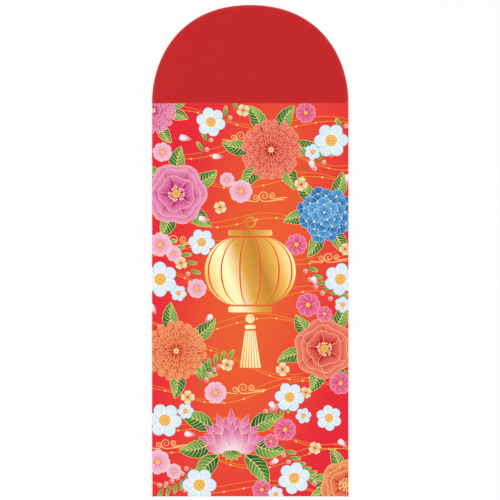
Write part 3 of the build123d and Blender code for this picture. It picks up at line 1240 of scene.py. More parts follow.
# %% Small flowers in their places
# place in mm, and the flower's radius or the loose petal's length
SMALL_FLOWERS = {
    loose_petal: (
        (-28, 70, 5.0), (27, 58, 4.6), (-20, 35, 4.4), (42, 52, 4.6), (-42, -4, 4.8), (28, 8, 4.4),
        (-18, -8, 4.2), (10, -46, 4.6), (-26, -58, 4.6), (40, -62, 4.4), (10, -70, 4.2), (-14, 62, 4.4),
    ),
    osmanthus: (
        (-3, 82, 2.6), (22, 50, 2.8), (-13, 40, 2.6), (-30, 16, 2.6),
        (41, 22, 2.4), (14, -30, 2.8), (-10, -28, 2.6), (24, -40, 2.4),
        (-27, -42, 2.8), (28, -64, 2.6), (-30, -88, 2.4), (-9, -88, 2.6),
    ),
    cosmos: (
        (-33, 20, 3.2), (32, -6, 3.2), (-33, -74, 3.2), (-10, 52, 3.0), (9, -61, 3.0),
        (-4, 47, 4.8), (24, 81, 4.2), (20, 24, 4.4), (-39, 24, 5.0), (-23, 5, 4.0), (25, -2, 5.0),
        (-15, -40, 4.6), (15, -56, 4.6), (-40, -70, 5.2), (5, -82, 4.0), (39, -36, 4.6), (-38, 64, 4.0),
    ),
    narcissus: (
        (27, 64, 3.4), (-31, 3, 3.4), (40, -2, 3.4), (23, -50, 3.3), (-28, -48, 3.4), (11, -84, 3.3),
        (-17, 77, 6.2), (35, 69, 7.2), (-21, 25, 5.6), (39, 9, 6.8), (-39, 9, 7.4),
        (17, -42, 6.2), (-37, -52, 7.2), (34, -51, 5.4), (-22, -80, 7.2), (19, -77, 6.8),
    ),
}

for flower, seats in SMALL_FLOWERS.items():
    for x, y, radius in seats:
        flower(np.array([x, y]), radius)
print(len(patches), "patches, with", sum(len(patch["outline"]) for patch in patches), "points in all")

# %% [markdown]
# ## Cutting the ink into the sheet
# Knife cuts could be made one outline at a time, but there are thousands of them. A constrained
# triangulation takes them all at once and cuts the sheet along every one, so each small triangle knows
# which patches cover it and takes its colour from the topmost. Cuts under a single patch don't show.
# So the sheet is cut twice: once with every outline, to find out what lies on top, and once more along
# the cuts that show, which saves about a third of the triangles.

# %% Rows along the bends
BEND_STEPS = 8
CREASE_STEPS = 10
STEP_ROWS = 3
ROW_OVERHANG = 1.0
EAR_MARGIN = 0.3
sheet_low, sheet_high = blank.min(0), blank.max(0)


def level_row(left, right, y):
    """A straight line across the sheet, as its two ends."""
    return (left, y), (right, y)


def make_bend_rows():
    """Straight lines along every bend, so that the flat triangles can follow it."""
    far_left, far_right = sheet_low[0] - ROW_OVERHANG, sheet_high[0] + ROW_OVERHANG
    low, high = FOOT - ROW_OVERHANG, MOUTH + EAR_EASE + ROW_OVERHANG
    rows = []
    for share in np.linspace(0, 1, BEND_STEPS + 1):
        for line in (LEFT_LINE - WIDE_ARC * share, RIGHT_LINE + CLOSE_ARC * share):
            rows.append(((line, low), (line, high)))
        rows.append(level_row(LEFT - ROW_OVERHANG, RIGHT + ROW_OVERHANG, FOOT_LINE - WIDE_ARC * share))
        for ear_row in (FOOT + RELIEF - EAR_EASE * share, MOUTH + EAR_EASE * share):
            rows.append(level_row(LEFT - EAR_MARGIN, LEFT_LINE + EAR_MARGIN, ear_row))
            rows.append(level_row(RIGHT_LINE - EAR_MARGIN, RIGHT + EAR_MARGIN, ear_row))
    for crease_row in np.linspace(PANEL_HEAD, FLAP_ROOT, CREASE_STEPS + 1):
        rows.append(level_row(far_left, far_right, crease_row))
    for step_row in np.linspace(STEP_HEAD, STEP_HEAD - STEP_LENGTH, STEP_ROWS):
        rows.append(level_row(far_left, LEFT_LINE, step_row))
    return rows


bend_rows = make_bend_rows()
print(len(bend_rows), "rows along the bends")

# %% Points over the sheet
ROW_STEP = 2.5
EDGE_STEPS = (0.3, 0.7, 1.4)
FRONT_GRID = 1.7
PLAIN_GRID = 5.0
PRINT_WRAP = 1.2
print_low = np.array([LEFT_LINE - PRINT_WRAP, FOOT_LINE - PRINT_WRAP])
print_high = np.array([RIGHT_LINE + PRINT_WRAP, CREASE])


def grid_points(low, high, step):
    """Points spread evenly over a rectangle, with every other row moved by half a step."""
    across, along = np.meshgrid(*(np.arange(a + step / 2, b, step) for a, b in zip(low, high)))
    across[1::2] += step / 2
    return np.column_stack([across.ravel(), along.ravel()])


def row_points(rows, step):
    """Points along straight lines."""
    return np.vstack([finely(np.array(row), step, closed=False) for row in rows])


sheet_points = np.vstack([
    grid_points(print_low, print_high, FRONT_GRID),
    grid_points(sheet_low, sheet_high, PLAIN_GRID),
    row_points(bend_rows, ROW_STEP),
    *(grow(blank, -step) for step in EDGE_STEPS),
])
print(len(sheet_points), "points over the sheet")

# %% The first cut, along every outline
SNAP = 0.0005
INSIDE_ONLY = 1
# the card comes first among the outlines, then the printed ground, and then the patches
CARD_COVER, GROUND_COVER, FIRST_PATCH = 0, 1, 2


def cut_up(outlines, rows, loose):
    """Triangulate outlines, lines and loose points; returns places, triangles, sources and covers."""
    verts, edges, rings = [], [], []
    for outline in outlines:
        rings.append(list(range(len(verts), len(verts) + len(outline))))
        verts.extend(outline.tolist())
    for row in rows:
        edges.append((len(verts), len(verts) + 1))
        verts.extend(row)
    verts.extend(loose.tolist())
    spots = [Vector(vert) for vert in verts]
    cut = delaunay_2d_cdt(spots, edges, rings, INSIDE_ONLY, SNAP, True)
    places, _, triangles, sources, _, covers = cut
    return np.array([tuple(place) for place in places]), np.array(triangles), sources, covers


right_foot, left_head = (print_high[0], print_low[1]), (print_low[0], print_high[1])
print_box = np.array([print_low, right_foot, print_high, left_head])
outlines = [blank, print_box] + [patch["outline"] for patch in patches]
cut_places, cut_faces, _, cut_covers = cut_up(outlines, [], np.empty((0, 2)))
on_card = np.array([CARD_COVER in cover for cover in cut_covers])
cut_tops = np.array([max(cover) if GROUND_COVER in cover else CARD_COVER for cover in cut_covers])
print(len(cut_faces), "triangles from", len(outlines), "outlines")

# %% The second cut, along what shows


def showing_cuts():
    """The sides of triangles that part two different patches, as pairs of points."""
    faces, tops = cut_faces[on_card], np.tile(cut_tops[on_card], 3)
    sides = np.sort(np.vstack([faces[:, [0, 1]], faces[:, [1, 2]], faces[:, [2, 0]]]), axis=1)
    order = np.lexsort((sides[:, 1], sides[:, 0]))
    sides, tops = sides[order], tops[order]
    paired = (sides[1:] == sides[:-1]).all(1)
    return cut_places[sides[:-1][paired & (tops[1:] != tops[:-1])]].tolist()


def without_strays(places, faces):
    """Drop the points that no face uses."""
    used, renumbered = np.unique(faces, return_inverse=True)
    return places[used], renumbered.reshape(faces.shape)


flat, skin, _, _ = cut_up([blank], bend_rows + showing_cuts(), sheet_points)
cut_spots = [(x, y, 0) for x, y in cut_places]
lookup = BVHTree.FromPolygons(cut_spots, cut_faces.tolist(), all_triangles=True)
found = [lookup.ray_cast((x, y, 1), (0, 0, -1))[2] for x, y in flat[skin].mean(1)]
kept = np.array([number is not None and on_card[number] for number in found])
tops = cut_tops[[number for number, keep in zip(found, kept) if keep]]
flat, skin = without_strays(flat, skin[kept])
print("the printed side has", len(skin), "triangles on", len(flat), "points")

# %% [markdown]
# The ground under the flowers is red, and glows orange in a long slanted oval behind the foil. Such a
# blend is printed from two inks, so here two colours are mixed by the distance from the oval's middle.

# %% The glow of the ground
# middle in mm, lean in degrees, and the reach along and across in mm
WARM_MIDDLE = (3.0, 7.0)
WARM_LEAN = 10.0
WARM_REACH = (146.0, 47.0)


def ground_colour(places):
    """The ground's colour: orange in the middle, running to red at the edges."""
    axis = heading(90 - WARM_LEAN)
    away = (places - WARM_MIDDLE) @ np.array([axis, (axis[1], -axis[0])]).T / WARM_REACH
    warm = 1 - ease(np.linalg.norm(away, axis=-1))
    return mix(GROUND_RED, GROUND_ORANGE, warm[..., None])


warmest = ground_colour(np.array([WARM_MIDDLE]))[0]
print("the warmest ground in linear values:", np.round(warmest, 3))

# %% The colour of every triangle


def patch_part(name, numbers):
    """One fact of the given patches, shaped to go with the corners of triangles."""
    return np.array([patch[name] for patch in patches], float)[numbers][:, None]


def ink_of(places, tops):
    """Ink colour and gilt at each corner of each triangle, from the patch on top."""
    numbers = np.maximum(tops - FIRST_PATCH, 0)
    start, end = patch_part("start", numbers), patch_part("end", numbers)
    near, far = patch_part("near", numbers), patch_part("far", numbers)
    share = ((places - start) * (end - start)).sum(-1) / ((end - start) ** 2).sum(-1)
    colours = mix(near, far, np.clip(share, 0, 1)[..., None])
    colours = np.where((tops == GROUND_COVER)[:, None, None], ground_colour(places), colours)
    colours = np.where((tops == CARD_COVER)[:, None, None], PLAIN_RED, colours)
    gilt = np.where((tops >= FIRST_PATCH)[:, None], patch_part("gilt", numbers), 0)
    return np.dstack([colours, np.repeat(gilt, 3, 1)])


skin_ink = ink_of(flat[skin], tops)
print(round(100 * float(skin_ink[..., 3].mean())), "percent of the triangles are gold ink")

# %% [markdown]
# ## One closed card
# The inner side of the sheet has no print. It could be a copy of the printed side, but every cut of the
# print would be wasted there, so it gets a coarser mesh of its own, drawn on the same edge points. A
# narrow rim joins the two sides. The result is one closed skin with the real thickness of the card, and
# each side keeps its own material: coated ink, bare paper, and the raw cut edge.

# %% Finding the edge


def edge_loops(faces):
    """The closed rows of points along the edges of a sheet of faces, each in order."""
    sides = dict.fromkeys((a, b) for face in faces for a, b in zip(face, face[1:] + face[:1]))
    follow = {a: b for a, b in sides if (b, a) not in sides}
    loops = []
    while follow:
        first, after = follow.popitem()
        loop = [first]
        while after != first:
            loop.append(after)
            after = follow.pop(after)
        loops.append(np.array(loop))
    return loops


(loop,) = edge_loops(skin.tolist())
edge = flat[loop]
print("the card's edge has", len(loop), "points")

# %% Keeping clear of the edge
POINTS_AT_ONCE = 1000


def distance_to(points, outline):
    """How far each point is from the nearest stretch of a closed outline."""
    run = np.roll(outline, -1, 0) - outline
    nearest = []
    for block in np.array_split(points, len(points) // POINTS_AT_ONCE + 1):
        apart = block[:, None] - outline
        share = np.clip((apart * run).sum(-1) / np.maximum((run ** 2).sum(-1), TINY), 0, 1)
        nearest.append(np.linalg.norm(apart - run * share[..., None], axis=-1).min(1))
    return np.concatenate(nearest)


def well_inside(points, outline, margin):
    """The points that lie within an outline and not too near to it."""
    start, end = outline, np.roll(outline, -1, 0)
    x, y = points[:, :1], points[:, 1:]
    run, rise = (end - start).T
    share = (y - start[:, 1]) / np.where(rise == 0, TINY, rise)
    crossed = ((start[:, 1] > y) != (end[:, 1] > y)) & (start[:, 0] + share * run > x)
    inside = crossed.sum(1) % 2 == 1
    return points[inside & (distance_to(points, outline) > margin)]


middle_gap = distance_to(np.zeros((1, 2)), edge)[0]
print("from the middle of the front to the nearest cut edge:", round(float(middle_gap), 1), "mm")

# %% The inner side
INNER_MARGIN = 0.12
INNER_STEP = 2.0
# a longer stretch would leap over a notch of the card
LONGEST_CUT = 3.0


def inner_cuts():
    """The stretches of the bend rows that lie well within the card, as short lines."""
    cuts = []
    for row in bend_rows:
        path = well_inside(finely(np.array(row), INNER_STEP, closed=False), edge, INNER_MARGIN)
        steps = np.linalg.norm(np.diff(path, axis=0), axis=1)
        cuts += [(a, b) for a, b, step in zip(path, path[1:], steps) if step < LONGEST_CUT]
    return cuts


inner_grid = well_inside(grid_points(sheet_low, sheet_high, PLAIN_GRID), edge, INNER_MARGIN)
inner_flat, inner_skin, inner_sources, inner_covers = cut_up([edge], inner_cuts(), inner_grid)
inner_skin = inner_skin[[bool(cover) for cover in inner_covers], ::-1]
inner_number = {source: number for number, sources in enumerate(inner_sources) for source in sources}
inner_loop = np.array([inner_number[number] for number in range(len(edge))])
print("the inner side has", len(inner_skin), "triangles on", len(inner_flat), "points")

# %% The rim and the mesh
outer_places, outer_lean = fold_up(flat)
inner_places, inner_lean = fold_up(inner_flat)
outer_points = outer_places + outer_lean * CARD / 2
inner_points = inner_places - inner_lean * CARD / 2
card_points = np.vstack([outer_points, inner_points]) * MM
inner_rim = inner_loop + len(flat)
rim = np.column_stack([np.roll(loop, -1), loop, inner_rim, np.roll(inner_rim, -1)])
card_faces = skin.tolist() + (inner_skin + len(flat)).tolist() + rim.tolist()


def make_piece(name, points, faces):
    """A mesh object made from points in metres and faces."""
    mesh = bpy.data.meshes.new(name)
    mesh.from_pydata(points.tolist(), [], faces)
    piece = bpy.data.objects.new(name, mesh)
    bpy.context.scene.collection.objects.link(piece)
    return piece


card = make_piece("folded_card", card_points, card_faces)
print("folded card:", len(card_points), "points and", len(card_faces), "faces, rim of", len(rim))

# %% [markdown]
# The card needs two more things before it can be painted. A map lays its faces out without overlap,
# with most of the room given to the print, so that the look can be baked for other programs. Blender
# could unwrap the card, but the sheet was flat to start with, so its own flat places are the map. And
# each point is told how much it rubs against a hand or a pocket: most on the folds and the cut edges.

# %% The map of the card
MAP_GAP = 0.012
PRINT_BAND = (0.0, 0.5)
PLAIN_BAND = (0.5, 0.74)
INNER_BAND = (0.74, 0.975)
RIM_BAND = (0.98, 0.995)


def lay_out(places, low, high, band):
    """Spread flat places over a band of the map, with the packet's length along the band."""
    across, along = np.moveaxis((places - low) / (high - low), -1, 0)
    width = band[1] - band[0] - 2 * MAP_GAP
    return np.stack([MAP_GAP + along * (1 - 2 * MAP_GAP), band[0] + MAP_GAP + across * width], -1)


printed = tops > CARD_COVER
print_map = lay_out(flat[skin], print_low, print_high, PRINT_BAND)
plain_map = lay_out(flat[skin], sheet_low, sheet_high, PLAIN_BAND)
inner_map = lay_out(inner_flat[inner_skin], sheet_low, sheet_high, INNER_BAND)
rim_along = np.arange(len(rim))[:, None] + np.array([1, 0, 0, 1])
rim_across = np.tile([RIM_BAND[1], RIM_BAND[1], RIM_BAND[0], RIM_BAND[0]], (len(rim), 1))
rim_map = np.stack([rim_along / len(rim), rim_across], -1)
skin_map = np.where(printed[:, None, None], print_map, plain_map)
card_map = np.vstack([part.reshape(-1, 2) for part in (skin_map, inner_map, rim_map)])
card.data.uv_layers.new(name="OFBake").data.foreach_set("uv", card_map.ravel())
print("printed triangles:", int(printed.sum()), "plain:", int((~printed).sum()))

# %% The ink and the rub
# rub at the middle of a fold, and how far in from a cut edge the rub fades, in mm
FOLD_RUB = 0.22
EDGE_RUB_REACH = 0.3


def rub_of(places):
    """How much each place of the outer side is rubbed: 0 where nothing touches it, 1 at most."""
    u, v = places.T
    past_left, past_right = (LEFT_LINE - u) / WIDE_ARC, (u - RIGHT_LINE) / CLOSE_ARC
    past_foot, past_head = (FOOT_LINE - v) / WIDE_ARC, (v - PANEL_HEAD) / (FLAP_ROOT - PANEL_HEAD)
    folds = np.clip([past_left, past_right, past_foot, past_head], 0, 1)
    on_fold = FOLD_RUB * np.sin(math.pi * folds).max(0)
    return np.maximum(on_fold, np.exp(-distance_to(places, edge) / EDGE_RUB_REACH))


corner_ink = np.full((len(card_map), 4), (*PLAIN_RED, 0))
corner_ink[:skin.size] = skin_ink.reshape(-1, 4)
card.data.attributes.new("ink", "FLOAT_COLOR", "CORNER").data.foreach_set("color", corner_ink.ravel())
rub = np.concatenate([rub_of(flat), np.zeros(len(inner_flat))])
card.data.attributes.new("rub", "FLOAT", "POINT").data.foreach_set("value", rub)
print("rubbed points:", int((rub > FOLD_RUB / 2).sum()), "of", len(rub))

# %% Sides and soft shading
# the card's three finishes: 0 printed coat, 1 bare paper, 2 cut edge
face_kind = np.repeat([0, 1, 2], [len(skin), len(inner_skin), len(rim)])
card.data.polygons.foreach_set("material_index", face_kind)
card.data.polygons.foreach_set("use_smooth", np.full(len(card_faces), True))
rim_sides = {tuple(sorted(pair)) for face in rim.tolist() for pair in (face[:2], face[2:])}
sharp = [tuple(sorted(side.vertices)) in rim_sides for side in card.data.edges]
card.data.edges.foreach_set("use_edge_sharp", sharp)
print("sharp edges along the rim:", sum(sharp))

# %% [markdown]
# ## Paper, ink, wear and painted reflections as shared effects
# The grain gives the fine tooth of the card, and the mottle lets ink and foil lie a little unevenly.
# Both come back in several materials. They could be wired afresh each time, but as node groups they
# are built once, and each material only sets their inlets. The wear shows pale paper where the coat is
# rubbed, and the sweep is a painted reflection: bands of bright and deep gold laid into the colour of
# stamped foil. These two are groups as well, so that a material reads as a short list of effects.

# %% Helpers for the effects


def new_effect(name, inputs, output):
    """An empty node group with its sockets; returns the tree, its inlets and its one outlet."""
    tree = bpy.data.node_groups.new(name, "ShaderNodeTree")
    for label, value in inputs.items():
        kind = "NodeSocketFloat" if isinstance(value, float) else "NodeSocketColor"
        tree.interface.new_socket(name=label, in_out="INPUT", socket_type=kind).default_value = value
    kind = "NodeSocketColor" if output == "Color" else "NodeSocketFloat"
    tree.interface.new_socket(name=output, in_out="OUTPUT", socket_type=kind)
    return tree, tree.nodes.new("NodeGroupInput").outputs, tree.nodes.new("NodeGroupOutput").inputs[0]


def noise(tree, scale, detail=3.0, stretch=(1.0, 1.0, 1.0)):
    """Noise in the packet's own metres; returns its value."""
    where = tree.nodes.new("ShaderNodeTexCoord")
    pull = tree.nodes.new("ShaderNodeVectorMath")
    pull.operation = "MULTIPLY"
    pull.inputs[1].default_value = stretch
    texture = tree.nodes.new("ShaderNodeTexNoise")
    texture.inputs["Scale"].default_value = scale
    texture.inputs["Detail"].default_value = detail
    wire(tree, (where.outputs["Object"], pull.inputs[0]), (pull.outputs[0], texture.inputs["Vector"]))
    return texture.outputs["Fac"]


print("helpers for effects: new_effect, noise")

# %% Helpers for colours
# numbers of a Mix node's colour sockets
MIX_SHARE, MIX_FIRST, MIX_SECOND, MIX_RESULT = 0, 6, 7, 2


def blend_colour(tree, share, first, second):
    """Mix two colours by a share; returns the colour."""
    node = tree.nodes.new("ShaderNodeMix")
    node.data_type = "RGBA"
    for number, value in ((MIX_SHARE, share), (MIX_FIRST, first), (MIX_SECOND, second)):
        give(tree, node.inputs[number], value)
    return node.outputs[MIX_RESULT]


def opaque(shade):
    """A colour as the four numbers that a socket takes."""
    return (*shade, 1)


print("the plain red as a socket takes it:", np.round(opaque(PLAIN_RED), 3))

# %% Grain


def make_card_grain():
    """Tooth of the card: a fine speckle on long fibres."""
    tree, inlets, outlet = new_effect("card_grain", {"Fibre": 0.5}, "Height")
    tooth = noise(tree, scale=2600.0)
    fibres = noise(tree, scale=900.0, detail=4.0, stretch=(1.0, 0.22, 1.0))
    height = math_node(tree, "ADD", tooth, math_node(tree, "MULTIPLY", fibres, inlets["Fibre"]))
    wire(tree, (height, outlet))
    return tree


card_grain = make_card_grain()
print("the first effect:", card_grain.name)

# %% Mottle
GREY = (0.5, 0.5, 0.5, 1)


def make_press_mottle():
    """Ink that lies a little unevenly."""
    tree, inlets, outlet = new_effect("press_mottle", {"Color": GREY, "Amount": 0.06}, "Color")
    # two noises add up to about 1, and a value of 1 leaves a colour as it is
    both = math_node(tree, "ADD", noise(tree, scale=160.0), noise(tree, scale=1900.0, detail=2.0))
    uneven = math_node(tree, "MULTIPLY", math_node(tree, "SUBTRACT", both, 1.0), inlets["Amount"])
    value = tree.nodes.new("ShaderNodeHueSaturation")
    wire(tree, (math_node(tree, "ADD", uneven, 1.0), value.inputs["Value"]))
    wire(tree, (inlets["Color"], value.inputs["Color"]), (value.outputs[0], outlet))
    return tree


press_mottle = make_press_mottle()
print("effects so far:", ", ".join(group.name for group in bpy.data.node_groups))

# %% Wear
WORN_PALE = colour(246, 214, 196)
WEAR_CONTRAST = 1.5


def make_fold_wear():
    """Pale paper that shows through where the coat is rubbed."""
    tree, inlets, outlet = new_effect("fold_wear", {"Color": GREY, "Rub": 0.0, "Amount": 0.5}, "Color")
    broken = math_node(tree, "POWER", noise(tree, scale=1300.0, detail=5.0), WEAR_CONTRAST)
    rubbed = math_node(tree, "MULTIPLY", inlets["Rub"], broken)
    worn = math_node(tree, "MULTIPLY", rubbed, inlets["Amount"])
    wire(tree, (blend_colour(tree, worn, inlets["Color"], opaque(WORN_PALE)), outlet))
    return tree


fold_wear = make_fold_wear()
print("with the wear there are", len(bpy.data.node_groups), "effects")

# %% The sweep of gold, a painted reflection
SWEEP_SLANT = 0.35
SWEEP_START = 0.5
# colours of the painted reflection bands, bright and deep gold in turn
PAINTED_REFLECTION_STOPS = {
    0.0: (226, 174, 74), 0.2: (248, 228, 160), 0.34: (250, 238, 188),
    0.56: (214, 156, 58), 0.78: (190, 126, 38), 1.0: (226, 174, 74),
}


def make_painted_reflection_sweep():
    """Painted reflections: bands of bright and deep gold that run across the packet."""
    tree, inlets, outlet = new_effect("painted_reflection_sweep", {"Pitch": 0.03}, "Color")
    where = tree.nodes.new("ShaderNodeTexCoord")
    split = tree.nodes.new("ShaderNodeSeparateXYZ")
    wire(tree, (where.outputs["Object"], split.inputs[0]))
    slant = math_node(tree, "MULTIPLY", split.outputs["Y"], SWEEP_SLANT)
    slanted = math_node(tree, "ADD", split.outputs["X"], slant)
    bands = math_node(tree, "ADD", math_node(tree, "DIVIDE", slanted, inlets["Pitch"]), SWEEP_START)
    ramp = tree.nodes.new("ShaderNodeValToRGB")
    stops = ramp.color_ramp.elements
    while len(stops) < len(PAINTED_REFLECTION_STOPS):
        stops.new(position=0.5)
    for stop, (place, shade) in zip(stops, PAINTED_REFLECTION_STOPS.items()):
        stop.position = place
        stop.color = opaque(colour(*shade))
    wire(tree, (math_node(tree, "FRACT", bands), ramp.inputs[0]), (ramp.outputs[0], outlet))
    return tree


painted_reflection_sweep = make_painted_reflection_sweep()
print("effects:", ", ".join(group.name for group in bpy.data.node_groups))

# %% [markdown]
# ## The finishes of the card
# The printed side is coated, so it has a soft sheen, and its gold ink is a little metallic. The inside
# is bare, pale and slightly rough, and the cut edge shows the core of the card with a trace of red that
# the knife drew over it. Each could have a bump of its own, but it is one sheet of card, so all three
# take their roughness and bump from the same grain.

# %% Helpers for materials


def use(tree, group, **settings):
    """Put a shared effect into a material, with its inputs linked or set; returns its first output."""
    node = tree.nodes.new("ShaderNodeGroup")
    node.node_tree = group
    for label, value in settings.items():
        give(tree, node.inputs[label], value)
    return node.outputs[0]


def read(tree, layer, output):
    """What a layer of the mesh says at each point."""
    node = tree.nodes.new("ShaderNodeAttribute")
    node.attribute_name = layer
    return node.outputs[output]


def vary(tree, value, low, high):
    """Run a 0 to 1 value between two levels; returns the level."""
    node = tree.nodes.new("ShaderNodeMapRange")
    node.inputs["To Min"].default_value = low
    node.inputs["To Max"].default_value = high
    wire(tree, (value, node.inputs["Value"]))
    return node.outputs[0]


print("helpers for materials: use, read, vary")

# %% A material with grain


def grained(name, fibre, rough, bump, depth):
    """A material whose roughness and bump follow the grain; returns it, its tree and shader inputs."""
    material = bpy.data.materials.new(name)
    tree = empty_tree(material)
    shader = tree.nodes.new("ShaderNodeBsdfPrincipled")
    out = tree.nodes.new("ShaderNodeOutputMaterial")
    raise_up = tree.nodes.new("ShaderNodeBump")
    raise_up.inputs["Strength"].default_value = bump
    raise_up.inputs["Distance"].default_value = depth * MM
    height = use(tree, card_grain, Fibre=fibre)
    wire(tree, (height, raise_up.inputs["Height"]), (raise_up.outputs[0], shader.inputs["Normal"]))
    wire(tree, (vary(tree, height, *rough), shader.inputs["Roughness"]))
    wire(tree, (shader.outputs[0], out.inputs["Surface"]))
    return material, tree, shader.inputs


print("grained makes a material that follows the effect", card_grain.name)

# %% Printed coat
GILT_METAL = 0.25


def make_printed_coat():
    """Inks under a thin coat, gilt lines a little metallic, worn on the folds."""
    material, tree, shader = grained("printed_coat", fibre=0.4, rough=(0.5, 0.62), bump=0.25, depth=0.03)
    inked = use(tree, press_mottle, Color=read(tree, "ink", "Color"), Amount=0.07)
    worn = use(tree, fold_wear, Color=inked, Rub=read(tree, "rub", "Fac"), Amount=0.35)
    metal = math_node(tree, "MULTIPLY", read(tree, "ink", "Alpha"), GILT_METAL)
    wire(tree, (worn, shader["Base Color"]), (metal, shader["Metallic"]))
    shader["Specular IOR Level"].default_value = 0.1
    return material


card.data.materials.append(make_printed_coat())
print("finish of the outer side:", card.data.materials[-1].name)

# %% Bare paper
PAPER_LIGHT, PAPER_DARK = colour(252, 246, 236), colour(240, 231, 218)


def make_bare_paper():
    """The unprinted inside: warm white with fibres."""
    material, tree, shader = grained("bare_paper", fibre=0.9, rough=(0.78, 0.92), bump=0.4, depth=0.04)
    pulp = noise(tree, scale=1500.0, detail=5.0, stretch=(1.0, 0.5, 1.0))
    shade = blend_colour(tree, pulp, opaque(PAPER_LIGHT), opaque(PAPER_DARK))
    wire(tree, (shade, shader["Base Color"]))
    shader["Specular IOR Level"].default_value = 0.15
    return material


card.data.materials.append(make_bare_paper())
print("finish of the inner side:", card.data.materials[-1].name)

# %% Cut edge
EDGE_PALE = colour(246, 226, 214)


def make_cut_edge():
    """The raw edge: pale core with a trace of red."""
    material, tree, shader = grained("cut_edge", fibre=1.0, rough=(0.8, 0.95), bump=0.4, depth=0.04)
    smear = vary(tree, noise(tree, scale=2400.0, detail=4.0), low=0.15, high=0.7)
    shade = blend_colour(tree, smear, opaque(EDGE_PALE), opaque(PLAIN_RED))
    wire(tree, (shade, shader["Base Color"]))
    return material


card.data.materials.append(make_cut_edge())
print("finishes of the card:", ", ".join(card.data.materials.keys()))

# %% [markdown]
# ## The card as one piece
# The flap bends on the crease, so the card spans two bodies. It could be cut in two there, but a gap
# would open at the fold, so it stays one piece, lying as it was folded here, and the packed panels
# that it stands for are hidden.

# %% The card in place of the imported panels
CARD_NODES = (
    "front_panel", "left_fold", "back_panel", "back_step", "right_fold", "side_tab",
    "bottom_fold", "bottom_flap", "top_crease", "top_flap",
)
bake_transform(card)
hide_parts(*CARD_NODES)
print("the card stands for", len(CARD_NODES), "nodes of the packed model")

# %% [markdown]
# ## Gold foil and gum
# Foil is pressed on with a heated die, so it lies flat at its edge and swells slightly between the
# die's ridges. A bump in the shader could imitate that, but real height also catches the light at the
# rim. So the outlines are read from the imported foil, and each becomes a thin closed pillow on the
# card's own surface. The gum inside the flap is made in the same way, as a thin flat film.

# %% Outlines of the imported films
# spacing of the points along a film's edge, in mm
FILM_EDGE = 0.6
# how near to the edge the points inside a film may come, as a share of their spacing
FILM_MARGIN = 0.4


def face_outlines(node):
    """The outlines of a packed film's upper faces, flat, in millimetres; holes run clockwise."""
    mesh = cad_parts[node].data
    places = np.array([tuple(vertex.co) for vertex in mesh.vertices]) / MM
    top = places[:, 2].max() - SNAP
    spots, number = np.unique(np.round(places[:, :2], decimals=4), axis=0, return_inverse=True)
    upper = [list(face.vertices) for face in mesh.polygons if places[face.vertices, 2].min() > top]
    return [spots[row] for row in edge_loops([number.ravel()[face].tolist() for face in upper])]


def film_part(outer, holes, step):
    """One part of a film, cut into triangles: flat points, triangles and distance to the edge."""
    bounds = [finely(outline, FILM_EDGE) for outline in [outer] + holes]
    spread = well_inside(grid_points(outer.min(0), outer.max(0), step), bounds[0], step * FILM_MARGIN)
    places, triangles, _, covers = cut_up(bounds, [], spread)
    places, triangles = without_strays(places, triangles[[cover == [0] for cover in covers]])
    return places, triangles, np.min([distance_to(places, outline) for outline in bounds], axis=0)


for film_node in ("foil_lantern", "foil_caps", "foil_tassel", "flap_gum_strip"):
    areas = [signed_area(outline) for outline in face_outlines(film_node)]
    parts = sum(area > 0 for area in areas)
    print(film_node, "covers", round(sum(areas), 1), "square mm, number of parts:", parts)

# %% Closed films on the card
FILM_SHARP = math.radians(50)


def make_film(name, node, step, under, over):
    """A closed film on the card: under and over give each side's height from the card's middle."""
    outlines = face_outlines(node)
    holes = [outline[::-1] for outline in outlines if signed_area(outline) < 0]
    points, faces = np.empty((0, 3)), []
    for outer in (outline for outline in outlines if signed_area(outline) > 0):
        own_holes = [hole for hole in holes if len(well_inside(hole[:1], outer, 0))]
        places, film, bank = film_part(outer, own_holes, step)
        middle, outward = fold_up(places)
        upper, lower = len(points), len(points) + len(places)
        both = [middle + outward * height(bank)[:, None] for height in (over, under)]
        points = np.vstack([points, *both])
        faces += (film + upper).tolist() + (film[:, ::-1] + lower).tolist()
        for row in edge_loops(film.tolist()):
            after = np.roll(row, -1)
            faces += np.column_stack([after + upper, row + upper, row + lower, after + lower]).tolist()
    piece = make_piece(name, points * MM, faces)
    piece.data.polygons.foreach_set("use_smooth", [len(face) == 3 for face in faces])
    piece.data.set_sharp_from_angle(angle=FILM_SHARP)
    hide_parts(node)
    print(name, "has", len(faces), "faces")
    return piece


print("make_film keeps a film's edges sharp from", round(math.degrees(FILM_SHARP)), "degrees on")

# %% [markdown]
# Real foil is a mirror, and a flat mirror under an even sky is one blank tone. Photographs of foil show
# bands of bright and deep gold instead, from windows and walls. Such a room could be built round the
# packet, but its bands would slide with every view. So the sweep lays them into the foil's own colour,
# and the metal is turned down to about half, to leave them clear.

# %% The look of stamped gold


def make_stamped_gold():
    """Bright foil with painted reflections in bands of light and deep gold, and the card's grain showing
    through.
    """
    material, tree, shader = grained("stamped_gold", fibre=0.3, rough=(0.3, 0.44), bump=0.2, depth=0.02)
    # the foil's base colour carries the painted reflection bands
    painted_bands = use(tree, painted_reflection_sweep, Pitch=0.034)
    wire(tree, (use(tree, press_mottle, Color=painted_bands, Amount=0.08), shader["Base Color"]))
    shader["Metallic"].default_value = 0.55
    shader["Specular IOR Level"].default_value = 0.4
    return material


stamped_gold = make_stamped_gold()
print("finish of the foil:", stamped_gold.name)

# %% Gold foil on the card
# all in mm
FOIL_GRID = 0.7
FILM_SINK = 0.02
FOIL_SWELL = 0.16
FOIL_SWELL_REACH = 0.7
foil_rise = corners("foil_lantern")[1][2] - CARD_FACE


def foil_under(bank):
    """The foil's underside, pressed a little into the card."""
    return np.full(len(bank), CARD / 2 - FILM_SINK)


def foil_over(bank):
    """The foil's bright side, which swells away from its edge."""
    return CARD / 2 + foil_rise + FOIL_SWELL * (1 - np.exp(-bank / FOIL_SWELL_REACH))


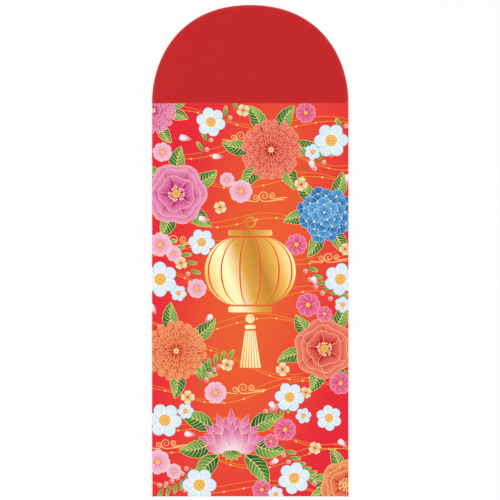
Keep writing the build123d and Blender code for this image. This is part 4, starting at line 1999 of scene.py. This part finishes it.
for foil_node in ("foil_lantern", "foil_caps", "foil_tassel"):
    foil = make_film(foil_node + "_relief", foil_node, FOIL_GRID, foil_under, foil_over)
    foil.data.materials.append(stamped_gold)
    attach(foil, "packet")
print("the foil stands at most", round(foil_rise + FOIL_SWELL, 2), "mm over the card")

# %% [markdown]
# The gum is a thin band that has dried on the inside of the flap and sticks when it is wetted. It could
# be a patch of colour, but it has a real thickness and a soft edge, so it is a film of its own. The
# streaks of the brush are noise, stretched across the flap.

# %% The look of a dried film
ROUGH_SPREAD = 0.15


def make_dried_film(name, light, deep, rough):
    """Dried paste or gum, with streaks from the brush."""
    rough_range = (rough, rough + ROUGH_SPREAD)
    material, tree, shader = grained(name, fibre=0.5, rough=rough_range, bump=0.3, depth=0.03)
    streak = noise(tree, scale=500.0, detail=4.0, stretch=(0.25, 1.0, 1.0))
    wire(tree, (blend_colour(tree, streak, opaque(light), opaque(deep)), shader["Base Color"]))
    return material


gum_light, gum_deep = colour(236, 224, 196), colour(214, 196, 158)
dried_gum = make_dried_film("dried_gum", gum_light, gum_deep, rough=0.22)
print("finish of the gum:", dried_gum.name)

# %% Gum on the flap
# spacing of its points in mm, thickness at its edge as a share, and the way to full thickness in mm
GUM_GRID = 2.5
GUM_EDGE_SHARE = 0.3
GUM_EDGE_REACH = 1.5
gum_rise = np.ptp(corners("flap_gum_strip"), axis=0)[2]


def gum_under(bank):
    """The gum's free side, thinner at its edge."""
    full = GUM_EDGE_SHARE + (1 - GUM_EDGE_SHARE) * ease(bank / GUM_EDGE_REACH)
    return -CARD / 2 - gum_rise * full


def gum_over(bank):
    """The gum's side on the card."""
    return np.full(len(bank), -CARD / 2 + FILM_SINK)


gum = make_film("gum_band", "flap_gum_strip", GUM_GRID, gum_under, gum_over)
gum.data.materials.append(dried_gum)
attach(gum, "flap")
print("the gum is", round(gum_rise, 3), "mm thick, and", GUM_EDGE_SHARE, "of that at its edge")

# %% [markdown]
# ## Paste
# The two lines of paste hold the pocket together. They could be films like the gum, but they lie hidden
# between flat panels, so they stay as they were packed and only get the streaked look of paste that was
# rolled on and dried.

# %% Paste in both seams
paste_light, paste_deep = colour(240, 232, 214), colour(222, 208, 182)
dried_paste = make_dried_film("dried_paste", paste_light, paste_deep, rough=0.5)
for paste_node in ("side_seam_paste", "bottom_flap_paste"):
    for paste_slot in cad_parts[paste_node].material_slots:
        paste_slot.material = dried_paste
print("finish of the paste:", dried_paste.name)
